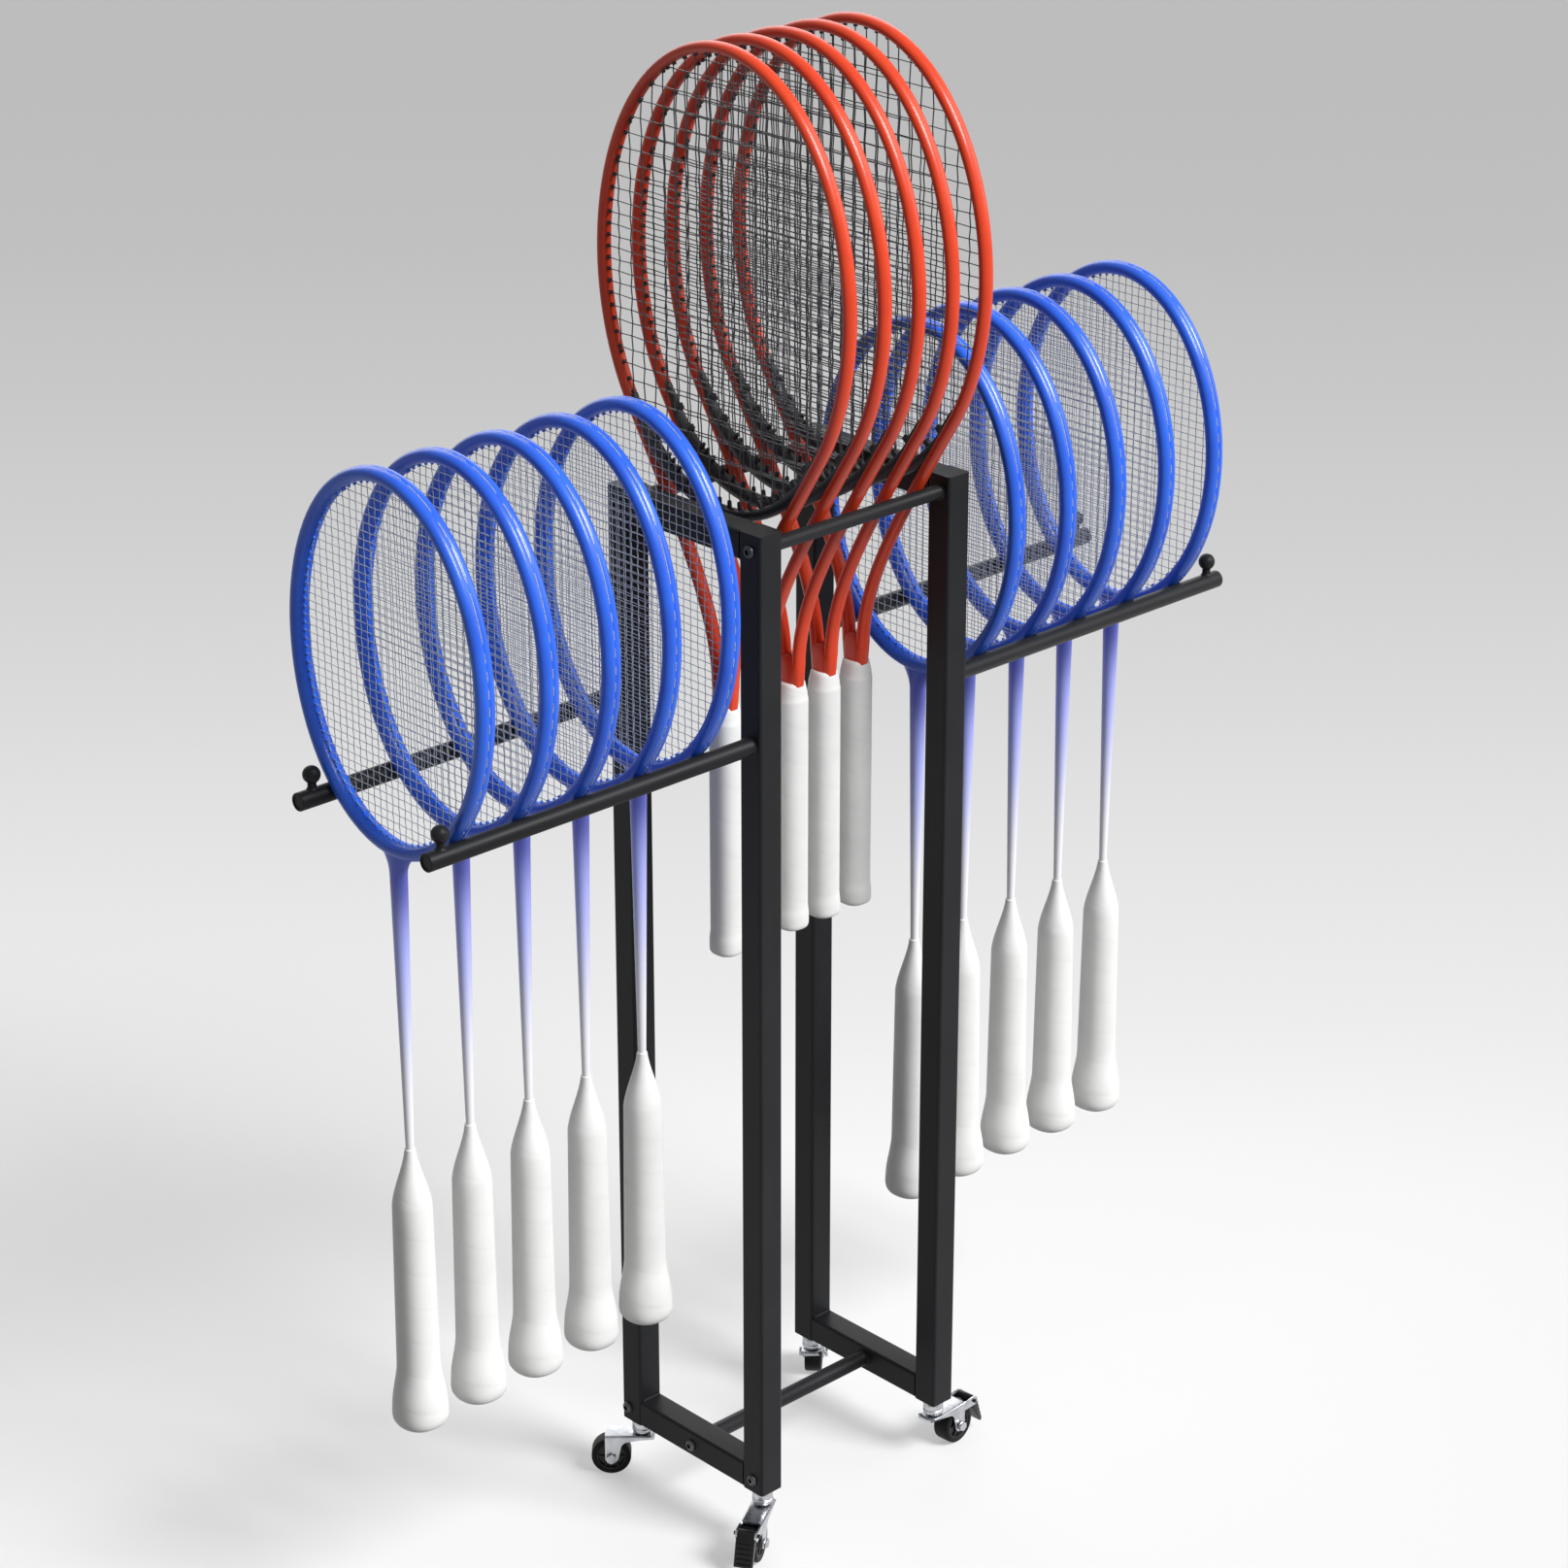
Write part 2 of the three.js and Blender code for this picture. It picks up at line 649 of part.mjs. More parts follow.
// Handle with its grip, collar and butt, and the socket for the stub.
function tennisGrip() {
  const bottom = tennisHeadHeight / 2 - tennisLength;
  const chamfer = (tennisButt - tennisGripWidth) / 2;
  const handle = loft(
    [
      [bottom, tennisButt - 2 * chamfer, tennisButt - 2 * chamfer],
      [bottom + chamfer, tennisButt, tennisButt],
      [bottom + tennisButtHeight, tennisButt, tennisButt],
      [bottom + 2 * tennisButtHeight, tennisGripWidth, tennisGripWidth],
      [tennisGripTop - tennisCollarHeight, tennisGripWidth, tennisGripWidth],
      [tennisGripTop, tennisGripCollar, tennisGripCollar],
    ],
    handleSides,
  );
  const bore = tennisStubDiameter + 2 * fitClearance;
  const socket = loft(
    [
      [tennisGripTop - tennisStubDepth - fitClearance, bore, bore],
      [tennisGripTop + overrun, bore, bore],
    ],
    handleSides,
  );
  return solid(handle).subtract(solid(socket));
}

// The assembly.
const stand = new THREE.Group();
const postX = (frameSpan - tubeSize) / 2;
const sides = { left: -1, right: 1 };
const ends = { front: -1, back: 1 };

// Adds a piece and places it.
function place(parent, name, body, material, x, y, z, turn = 0) {
  const mesh = piece(name, body, material);
  mesh.position.set(x, y, z);
  mesh.rotation.z = radians(turn);
  parent.add(mesh);
}

const postBody = post();
const railBody = rail();
const armBody = arm();
const stemBody = casterStem();
const wheelBody = casterWheel();
const pedalBody = brakePedal();

for (const [side, sign] of Object.entries(sides)) {
  const x = sign * postX;
  place(stand, `${side}_top_rail`, railBody, powderCoat, x, 0, frameTop - tubeSize / 2);
  place(stand, `${side}_bottom_rail`, railBody, powderCoat, x, 0, casterHeight + tubeSize / 2);

  for (const [end, way] of Object.entries(ends)) {
    const y = way * barY;
    const corner = `${side}_${end}`;
    place(stand, `${corner}_post`, postBody, powderCoat, x, y, casterHeight);
    place(stand, `${corner}_arm`, armBody, powderCoat, (sign * frameSpan) / 2, y, armHeight, sign < 0 ? 180 : 0);

    place(stand, `${corner}_caster_stem`, stemBody, zinc, x, y, 0);
    const caster = new THREE.Group();
    caster.position.set(x, y, 0);
    caster.rotation.z = radians(casterHeading[corner]);
    const braked = brakedCasters.includes(corner);
    place(caster, `${corner}_caster_fork`, casterFork(braked), zinc, 0, 0, 0);
    place(caster, `${corner}_caster_wheel`, wheelBody, tread, 0, 0, 0);
    if (braked) place(caster, `${corner}_brake_pedal`, pedalBody, pedalPlastic, 0, 0, 0);
    stand.add(caster);
  }
}

const barLength = frameSpan - 2 * tubeSize;
const topBarBody = solid(roundBar(topBarDiameter, barLength, barSides));
for (const [end, way] of Object.entries(ends)) {
  place(stand, `${end}_top_bar`, topBarBody, powderCoat, -barLength / 2, way * barY, topBarZ);
}
const crossbarBody = solid(roundBar(crossbarDiameter, barLength, barSides));
place(stand, 'bottom_crossbar', crossbarBody, powderCoat, -barLength / 2, 0, casterHeight + tubeSize / 2);

// Rows of rackets, numbered along x, each from its first racket to its last.
const armRoot = frameSpan / 2;
const armTip = armRoot + armLength;
const badminton = { height: badmintonSeat, frame: badmintonFrame(), grip: badmintonGrip(), lacquer: blueLacquer };
const tennis = { height: tennisSeat, frame: tennisFrame(), grip: tennisGrip(), lacquer: redLacquer };
const rows = {
  left: { first: leftRowMargin - armTip, last: -armRoot - leftRowInset, ...badminton },
  right: { first: armRoot + rightRowInset, last: armTip - rightRowMargin, ...badminton },
  top: { first: topRowInset - barLength / 2, last: barLength / 2 - topRowMargin - tennisButt / 2, ...tennis },
};

for (const [row, { first, last, height, frame, grip, lacquer }] of Object.entries(rows)) {
  for (let i = 0; i < rowCount; i += 1) {
    const x = first + ((last - first) * i) / (rowCount - 1);
    place(stand, `${row}_racket_${i + 1}`, frame, lacquer, x, 0, height);
    place(stand, `${row}_grip_${i + 1}`, grip, whiteGrip, x, 0, height);
  }
}

export default stand;
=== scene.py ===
"""Looks for a racket display stand on casters with the rackets that it carries.

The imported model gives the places. The square tubes of the stand stay as they
are and get their powder coat here. The round bars, the casters and the rackets
are modelled again with round sections, dense string beds, grommets and worn
finishes, and the bolts and the weld seams are added. Lengths are in metres, +Z
is up, and the stand faces -Y.
"""

import logging
import math
from dataclasses import dataclass
from enum import Enum
from typing import Callable, Iterable, Optional, Sequence, Union

import bmesh
import bpy
from mathutils import Euler, Matrix, Vector

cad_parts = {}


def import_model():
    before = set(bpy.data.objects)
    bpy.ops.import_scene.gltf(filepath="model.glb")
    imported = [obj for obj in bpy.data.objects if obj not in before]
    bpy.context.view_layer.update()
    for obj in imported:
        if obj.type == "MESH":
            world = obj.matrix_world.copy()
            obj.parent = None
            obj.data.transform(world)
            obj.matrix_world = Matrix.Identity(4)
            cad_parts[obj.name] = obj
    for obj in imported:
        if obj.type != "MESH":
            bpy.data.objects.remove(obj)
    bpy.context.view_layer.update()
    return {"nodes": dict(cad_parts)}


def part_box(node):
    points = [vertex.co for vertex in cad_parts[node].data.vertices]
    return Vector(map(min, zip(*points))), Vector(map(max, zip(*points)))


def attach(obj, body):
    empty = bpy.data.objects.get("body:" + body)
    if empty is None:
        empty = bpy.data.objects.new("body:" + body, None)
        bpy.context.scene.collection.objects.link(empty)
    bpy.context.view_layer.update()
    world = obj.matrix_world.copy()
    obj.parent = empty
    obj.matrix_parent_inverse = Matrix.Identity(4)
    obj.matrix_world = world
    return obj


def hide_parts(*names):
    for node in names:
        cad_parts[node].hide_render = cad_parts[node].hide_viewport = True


log = logging.getLogger("racket_stand")

Pair = tuple[float, float]
Triple = tuple[float, float, float]
Colour = Triple
SHARP_ANGLE = math.radians(38)
MERGE_DISTANCE = 0.000002
TOLERANCE = 1e-6
CORNER_STEPS = 6
BALL_STEPS = (32, 20)
FULL_TURN = 2 * math.pi
SIDES = {"left": -1, "right": 1}


class Axis(Enum):
    """The directions that a turned piece can point in."""

    UP = "up"
    ALONG_X = "x"
    ALONG_Y = "y"

    def turn(self) -> Matrix:
        """Gives the rotation to this direction.

        Returns:
            The rotation that takes +Z to it.
        """
        if self is Axis.ALONG_X:
            return Matrix.Rotation(math.pi / 2, 4, "Y")
        if self is Axis.ALONG_Y:
            return Matrix.Rotation(-math.pi / 2, 4, "X")
        return Matrix.Identity(4)


class Corner(Enum):
    """The four corners of the stand."""

    LEFT_FRONT = ("left_front", -1, -1, 210.0, True)
    LEFT_BACK = ("left_back", -1, 1, 137.0, False)
    RIGHT_FRONT = ("right_front", 1, -1, 4.0, True)
    RIGHT_BACK = ("right_back", 1, 1, 43.0, False)

    def __init__(self, label: str, side: int, end: int, heading: float, braked: bool) -> None:
        """Takes what is known of a corner.

        Args:
            label: The corner's name in the model.
            side: -1 on the left and 1 on the right.
            end: -1 in front and 1 at the back.
            heading: The way the caster's wheel trails, in degrees about +Z.
            braked: Whether the caster has a brake pedal.
        """
        self.label = label
        self.side = side
        self.end = end
        self.heading = math.radians(heading)
        self.braked = braked


# ------------------------------------------------------------------------ shader maths


class Value:
    """A number socket that takes part in Python expressions."""

    def __init__(self, nodes: "NodeTree", socket: bpy.types.NodeSocket) -> None:
        """Wraps an output socket of a node tree."""
        self.nodes = nodes
        self.socket = socket

    def _math(self, operation: str, *others: "Number") -> "Value":
        """Adds a Math node on this value and others.

        Args:
            operation: The Math node's operation.
            others: The further numbers or values.

        Returns:
            The node's result.
        """
        inputs = {i + 1: other for i, other in enumerate(others)}
        out = self.nodes.node("ShaderNodeMath", {"operation": operation}, {0: self, **inputs})
        return Value(self.nodes, out.outputs[0])

    def __add__(self, other: "Number") -> "Value":
        """Returns the sum."""
        return self._math("ADD", other)

    __radd__ = __add__

    def __mul__(self, other: "Number") -> "Value":
        """Returns the product."""
        return self._math("MULTIPLY", other)

    __rmul__ = __mul__

    def __sub__(self, other: "Number") -> "Value":
        """Returns the difference."""
        return self._math("SUBTRACT", other)

    def __rsub__(self, other: float) -> "Value":
        """Returns a number minus this value."""
        return self * -1.0 + other

    def __truediv__(self, other: "Number") -> "Value":
        """Returns the quotient."""
        return self._math("DIVIDE", other)

    def sine(self) -> "Value":
        """Returns the sine of this value."""
        return self._math("SINE")

    def power(self, exponent: float) -> "Value":
        """Returns this value to a power."""
        return self._math("POWER", exponent)

    def span(self, low: float, high: float) -> "Value":
        """Maps low to high onto 0 to 1, smoothly and clamped.

        Args:
            low: The value that gives 0.
            high: The value that gives 1.

        Returns:
            The mapped value.
        """
        node = self.nodes.node(
            "ShaderNodeMapRange",
            {"interpolation_type": "SMOOTHSTEP", "clamp": True},
            {"Value": self, "From Min": low, "From Max": high},
        )
        return Value(self.nodes, node.outputs["Result"])


Number = Union[float, Value]


class NodeTree:
    """The node tree of a material or of the world."""

    def __init__(self, tree: bpy.types.NodeTree) -> None:
        """Takes a tree and empties it."""
        self.tree = tree
        self.tree.nodes.clear()

    def node(
        self,
        kind: str,
        settings: Optional[dict] = None,
        inputs: Optional[dict] = None,
    ) -> bpy.types.Node:
        """Adds a node.

        Args:
            kind: The node's type.
            settings: Its properties, set first. A ramp takes "stops".
            inputs: Values or links of its sockets, by name or number.

        Returns:
            The node.
        """
        node = self.tree.nodes.new(kind)
        for key, value in (settings or {}).items():
            if key == "stops":
                ramp = node.color_ramp
                while len(ramp.elements) < len(value):
                    ramp.elements.new(0.5)
                for element, (place, colour) in zip(ramp.elements, value):
                    element.position = place
                    element.color = (*colour, 1.0)
            else:
                setattr(node, key, value)
        for key, value in (inputs or {}).items():
            self.feed(node.inputs[key], value)
        return node

    def feed(self, socket: bpy.types.NodeSocket, value: object) -> None:
        """Links or sets a socket.

        Args:
            socket: The input socket.
            value: A value, a socket, a colour or a number.
        """
        if isinstance(value, Value):
            self.tree.links.new(value.socket, socket)
        elif isinstance(value, bpy.types.NodeSocket):
            self.tree.links.new(value, socket)
        elif socket.type == "RGBA":
            socket.default_value = (*value, 1.0)
        else:
            socket.default_value = value

    def looked_at(self) -> Value:
        """Tells the rays that look at the surface from those that light it.

        Returns:
            1 for the camera, reflections and clear surfaces, and else 0.
        """
        path = self.node("ShaderNodeLightPath")
        camera, glossy, through = (
            Value(self, path.outputs[f"Is {kind} Ray"])
            for kind in ("Camera", "Glossy", "Transmission")
        )
        return camera + glossy + through


class Shader(NodeTree):
    """A material in the making, around one Principled BSDF."""

    def __init__(self, name: str) -> None:
        """Starts a material.

        Args:
            name: The material's name.
        """
        self.material = bpy.data.materials.new(name)
        self.material.use_nodes = True
        super().__init__(self.material.node_tree)
        self.surface = self.node("ShaderNodeBsdfPrincipled")
        self.output = self.node(
            "ShaderNodeOutputMaterial", inputs={"Surface": self.surface.outputs[0]}
        )
        self._coordinates: Optional[bpy.types.Node] = None

    def set(self, **inputs: object) -> None:
        """Sets the surface's sockets by name, with underscores for spaces."""
        for key, value in inputs.items():
            self.feed(self.surface.inputs[key.replace("_", " ")], value)

    @property
    def place(self) -> bpy.types.NodeSocket:
        """The Object coordinates."""
        if self._coordinates is None:
            self._coordinates = self.node("ShaderNodeTexCoord")
        return self._coordinates.outputs["Object"]

    def axis(self, name: str) -> Value:
        """Returns the Object coordinate X, Y or Z, in metres."""
        split = self.node("ShaderNodeSeparateXYZ", inputs={0: self.place})
        return Value(self, split.outputs[name])

    def noise(self, scale: float, detail: float = 2.0, stretch: Triple = (1.0, 1.0, 1.0)) -> Value:
        """Returns noise on the Object coordinates.

        Args:
            scale: Features per metre.
            detail: The noise's detail.
            stretch: The scale along each axis.

        Returns:
            The noise, around 0.5.
        """
        place: object = self.place
        if stretch != (1.0, 1.0, 1.0):
            mapping = self.node("ShaderNodeMapping", inputs={"Vector": place, "Scale": stretch})
            place = mapping.outputs[0]
        inputs = {"Vector": place, "Scale": scale, "Detail": detail}
        node = self.node("ShaderNodeTexNoise", inputs=inputs)
        return Value(self, node.outputs["Fac"])

    def mix(self, share: Number, first: object, second: object) -> bpy.types.NodeSocket:
        """Mixes two colours or sockets: a share of 0 gives the first and 1 the second."""
        inputs = {0: share, 6: first, 7: second}
        return self.node("ShaderNodeMix", {"data_type": "RGBA"}, inputs).outputs[2]

    def bump(self, height: Value, depth: float, strength: float) -> None:
        """Puts a bump on the surface.

        Args:
            height: The height, from 0 to 1.
            depth: The height of 1 in metres.
            strength: How much of the bump shows.
        """
        node = self.node(
            "ShaderNodeBump", inputs={"Height": height, "Distance": depth, "Strength": strength}
        )
        self.set(Normal=node.outputs[0])


# ---------------------------------------------------------------------------- finishes


@dataclass(frozen=True)
class PowderCoat:
    """Satin black powder coat with a fine orange peel."""

    name: str = "black_powder_coat"
    colour: Colour = (0.0120, 0.0124, 0.0138)
    worn: Colour = (0.023, 0.023, 0.025)
    roughness: float = 0.46
    gloss: float = 0.15
    cloud_per_metre: float = 14.0
    scuff_per_metre: float = 95.0
    peel_per_metre: float = 760.0
    peel_depth: float = 0.00006
    peel_strength: float = 0.5
    cloud_share: float = 0.4
    scuff_share: float = 0.35

    def build(self) -> bpy.types.Material:
        """Builds the material.

        Returns:
            The material.
        """
        shader = Shader(self.name)
        cloud = shader.noise(self.cloud_per_metre, 3.0)
        scuff = shader.noise(self.scuff_per_metre, 4.0, (1.0, 1.0, 0.16)).span(0.58, 0.78)
        peel = shader.noise(self.peel_per_metre, 1.0)
        base = shader.mix(cloud.span(0.3, 0.7) * self.cloud_share, self.colour, self.worn)
        shader.set(
            Base_Color=shader.mix(scuff * self.scuff_share, base, self.worn),
            Roughness=self.roughness + (cloud - 0.5) * 0.16 + scuff * 0.06,
            Specular_IOR_Level=self.gloss,
        )
        shader.bump(peel, self.peel_depth, self.peel_strength)
        return shader.material


@dataclass(frozen=True)
class Lacquer:
    """Clear-coated racket lacquer, with a faint cloud in its colour."""

    name: str
    colour: Colour
    deep: Colour
    roughness: float = 0.36
    coat: float = 0.22
    coat_roughness: float = 0.10
    gloss: float = 0.28
    cloud_per_metre: float = 26.0
    grain_per_metre: float = 420.0
    grain_depth: float = 0.00002
    grain_strength: float = 0.35
    cloud_share: float = 0.5

    def build(self) -> bpy.types.Material:
        """Builds the material.

        Returns:
            The material.
        """
        shader = Shader(self.name)
        cloud = shader.noise(self.cloud_per_metre, 3.0).span(0.32, 0.68)
        grain = shader.noise(self.grain_per_metre)
        base = shader.mix(cloud * self.cloud_share, self.colour, self.deep)
        shader.set(
            Base_Color=self.tint(shader, base),
            Roughness=self.roughness + (grain - 0.5) * 0.12,
            Coat_Weight=self.coat,
            Coat_Roughness=self.coat_roughness,
            Specular_IOR_Level=self.gloss,
        )
        shader.bump(grain, self.grain_depth, self.grain_strength)
        return shader.material

    def tint(self, shader: Shader, base: bpy.types.NodeSocket) -> bpy.types.NodeSocket:
        """Returns the lacquer's own colour as it is, for a plain finish."""
        return base


@dataclass(frozen=True)
class FadedLacquer(Lacquer):
    """Lacquer that fades down a shaft from the head's colour to white.

    Where lavender and white begin and end is told in shares of the shaft.
    """

    head_end: float = 0.0
    shaft_end: float = 0.0
    head_blend: float = 0.012
    violet_run: float = 0.004
    lavender_end: float = 0.30
    white_start: float = 0.25
    white_end: float = 0.92
    violet: Colour = (0.14, 0.17, 0.80)
    lavender: Colour = (0.40, 0.44, 0.95)
    white: Colour = (0.86, 0.86, 0.90)

    def tint(self, shader: Shader, base: bpy.types.NodeSocket) -> bpy.types.NodeSocket:
        """Fades the colour down the shaft.

        Args:
            shader: The material in the making.
            base: The lacquer's own colour.

        Returns:
            The faded colour.
        """
        height = shader.axis("Z")
        top, length = self.head_end, self.head_end - self.shaft_end
        start = height.span(top + self.head_blend, top - self.head_blend)
        middle = height.span(top - self.violet_run, top - self.lavender_end * length)
        end = height.span(top - self.white_start * length, top - self.white_end * length)
        first = shader.mix(start, base, self.violet)
        second = shader.mix(middle, first, self.lavender)
        return shader.mix(end, second, self.white)


@dataclass(frozen=True)
class GripWrap:
    """White wrapped grip: fine pores, soft shading and faint wrap edges."""

    name: str = "white_grip_wrap"
    colour: Colour = (0.80, 0.80, 0.79)
    shade: Colour = (0.66, 0.66, 0.66)
    roughness: float = 0.58
    lap: float = 0.026
    pores_per_metre: float = 1500.0
    cloud_per_metre: float = 38.0
    cloud_share: float = 0.35
    edge_share: float = 0.10
    relief: float = 0.0002
    relief_strength: float = 0.35

    def build(self) -> bpy.types.Material:
        """Builds the material.

        Returns:
            The material.
        """
        shader = Shader(self.name)
        layout = shader.node("ShaderNodeUVMap", {"uv_map": "wrap"})
        split = shader.node("ShaderNodeSeparateXYZ", inputs={0: layout.outputs[0]})
        around = Value(shader, split.outputs["X"])
        along = Value(shader, split.outputs["Y"])
        spiral = ((along / self.lap + around) * FULL_TURN).sine()
        edge = spiral.span(0.90, 1.0)
        pores = shader.noise(self.pores_per_metre, 1.0)
        cloud = shader.noise(self.cloud_per_metre, 3.0).span(0.35, 0.75)
        base = shader.mix(cloud * self.cloud_share, self.colour, self.shade)
        shader.set(
            Base_Color=shader.mix(edge * self.edge_share, base, self.shade),
            Roughness=self.roughness + (pores - 0.5) * 0.2,
            Sheen_Weight=0.1,
        )
        shader.bump(pores * 0.25 + edge * -0.6, self.relief, self.relief_strength)
        return shader.material


@dataclass(frozen=True)
class StringNylon:
    """Polished nylon string."""

    name: str
    colour: Colour
    dark: Colour
    roughness: float = 0.28
    twist_per_metre: float = 700.0
    twist_depth: float = 0.00003
    twist_strength: float = 0.4

    def build(self) -> bpy.types.Material:
        """Builds the material.

        Returns:
            The material.
        """
        shader = Shader(self.name)
        twist = shader.noise(self.twist_per_metre)
        shader.set(
            Base_Color=shader.mix(twist.span(0.35, 0.7), self.colour, self.dark),
            Roughness=self.roughness + (twist - 0.5) * 0.15,
        )
        shader.bump(twist, self.twist_depth, self.twist_strength)
        return shader.material


@dataclass(frozen=True)
class Moulded:
    """Moulded plastic or rubber with a fine spark-eroded grain."""

    name: str
    colour: Colour
    dusty: Colour
    roughness: float
    grain_depth: float = 0.00005
    gloss: float = 0.5
    grain_per_metre: float = 1300.0
    grain_strength: float = 0.5
    dust_per_metre: float = 60.0
    dust_share: float = 0.5

    def build(self) -> bpy.types.Material:
        """Builds the material.

        Returns:
            The material.
        """
        shader = Shader(self.name)
        grain = shader.noise(self.grain_per_metre)
        dust = shader.noise(self.dust_per_metre, 4.0).span(0.52, 0.76)
        shader.set(
            Base_Color=shader.mix(dust * self.dust_share, self.colour, self.dusty),
            Roughness=self.roughness + dust * 0.12 + (grain - 0.5) * 0.1,
            Specular_IOR_Level=self.gloss,
        )
        shader.bump(grain, self.grain_depth, self.grain_strength)
        return shader.material


@dataclass(frozen=True)
class BrightZinc:
    """Bright zinc plate with drawn lines and a faint bluish cloud."""

    name: str = "bright_zinc"
    colour: Colour = (0.55, 0.56, 0.58)
    cloud: Colour = (0.38, 0.40, 0.44)
    roughness: float = 0.22
    lines_per_metre: float = 420.0
    lines_depth: float = 0.00003
    lines_strength: float = 0.35
    patches_per_metre: float = 110.0
    patch_share: float = 0.7

    def build(self) -> bpy.types.Material:
        """Builds the material.

        Returns:
            The material.
        """
        shader = Shader(self.name)
        lines = shader.noise(self.lines_per_metre, 3.0, (1.0, 1.0, 0.12))
        patch = shader.noise(self.patches_per_metre, 3.0).span(0.4, 0.7)
        shader.set(
            Base_Color=shader.mix(patch * self.patch_share, self.colour, self.cloud),
            Metallic=1.0,
            Roughness=self.roughness + (lines - 0.5) * 0.22 + patch * 0.08,
        )
        shader.bump(lines, self.lines_depth, self.lines_strength)
        return shader.material


@dataclass(frozen=True)
class StudioFloor:
    """The seamless floor, which darkens evenly away from the stand.

    The camera and reflections see it pale, with the object's shadow in the
    part that the lamps light. Other rays meet a dull floor.
    """

    name: str = "studio_floor"
    direction: Pair = (0.6876, 0.7261)
    beside: float = 0.7
    near: float = 0.15
    far: float = 4.4
    lit_share: float = 0.464
    glow_share: float = 0.395
    dull: float = 0.15
    roughness: float = 0.9
    stops: tuple[Pair, ...] = (
        (0.15, 0.990),
        (0.46, 0.955),
        (0.75, 0.860),
        (1.10, 0.795),
        (1.50, 0.720),
        (2.00, 0.648),
        (2.60, 0.588),
        (3.36, 0.535),
        (4.40, 0.515),
    )

    def build(self) -> bpy.types.Material:
        """Builds the material.

        Returns:
            The material.
        """
        shader = Shader(self.name)
        x, y = self.direction
        reach = shader.axis("X") * x + shader.axis("Y") * y
        beside = (shader.axis("X") * y - shader.axis("Y") * x) * self.beside
        reach, beside = reach * reach, beside * beside
        away = (reach * reach + beside * beside).power(0.25)
        share = (away - self.near) / (self.far - self.near)
        stops = [
            ((place - self.near) / (self.far - self.near), (level, level, level))
            for place, level in self.stops
        ]
        tone = shader.node("ShaderNodeValToRGB", {"stops": stops}, {0: share}).outputs[0]
        shader.set(
            Base_Color=shader.mix(1.0 - self.lit_share, tone, (0.0, 0.0, 0.0)),
            Roughness=self.roughness,
            Specular_IOR_Level=0.0,
            Emission_Color=tone,
            Emission_Strength=self.glow_share,
        )
        dull = shader.node(
            "ShaderNodeBsdfPrincipled",
            inputs={"Base Color": (self.dull,) * 3, "Roughness": self.roughness},
        )
        seen = shader.node(
            "ShaderNodeMixShader",
            inputs={0: shader.looked_at(), 1: dull.outputs[0], 2: shader.surface.outputs[0]},
        )
        shader.feed(shader.output.inputs["Surface"], seen.outputs[0])
        return shader.material


# ------------------------------------------------------------------------------ shapes


def shift(x: float, y: float, z: float) -> Matrix:
    """Returns a translation."""
    return Matrix.Translation((x, y, z))


def sized(x: float, y: float, z: float = 1.0) -> Matrix:
    """Returns a scale."""
    return Matrix.Diagonal((x, y, z, 1.0))


def facing(side: int) -> Matrix:
    """Returns the turn about +Z that points a piece along +X to the right (1) or left (-1)."""
    return Matrix.Rotation(math.pi if side < 0 else 0.0, 4, "Z")


def ease(share: float) -> float:
    """Returns a smooth step from 0 to 1, clamped at both ends."""
    share = min(max(share, 0.0), 1.0)
    return share * share * (3 - 2 * share)


def same(first: float, second: float, margin: float = TOLERANCE) -> bool:
    """Tells whether two lengths differ by less than a margin for rounding."""
    return abs(first - second) < margin


def mirrored(profile: Sequence[Pair]) -> list[Pair]:
    """Returns a profile of radii and heights with its mirror image above it."""
    return [*profile, *((radius, -height) for radius, height in reversed(profile))]


def new_verts(made: Iterable[object]) -> list[bmesh.types.BMVert]:
    """Returns the vertices among the geometry that an operator made."""
    return [part for part in made if isinstance(part, bmesh.types.BMVert)]


def bevel(
    bm: bmesh.types.BMesh,
    parts: Sequence[Union[bmesh.types.BMVert, bmesh.types.BMEdge]],
    width: float,
    affect: str = "EDGES",
    segments: int = 2,
) -> None:
    """Rounds edges or corners.

    Args:
        bm: The mesh.
        parts: Its edges or its corner vertices.
        width: The width of the bevel.
        affect: EDGES or VERTICES.
        segments: The steps of the round.
    """
    bmesh.ops.bevel(
        bm,
        geom=parts,
        offset=width,
        affect=affect,
        segments=segments,
        profile=0.5,
        material=-1,
    )


def round_corners(
    bm: bmesh.types.BMesh, corners: Sequence[bmesh.types.BMVert], radius: float
) -> None:
    """Rounds the corners of a flat outline or of a sheet to a radius."""
    bevel(bm, corners, radius, "VERTICES", CORNER_STEPS)


@dataclass(frozen=True)
class Section:
    """The cross-section of a swept piece.

    A section of unit width is scaled by each station of the sweep.
    """

    sides: int = 16
    squareness: float = 2.0
    groove: float = 0.0

    def radius(self, angle: float) -> float:
        """Returns how far the outline lies from a round one.

        Args:
            angle: The direction from the middle, 0 on the outer side.

        Returns:
            The factor on the round outline's radius.
        """
        c, s = abs(math.cos(angle)), abs(math.sin(angle))
        factor = (c**self.squareness + s**self.squareness) ** (-1 / self.squareness)
        if self.groove and abs(math.remainder(angle, FULL_TURN)) < math.pi / self.sides:
            factor -= self.groove
        return factor


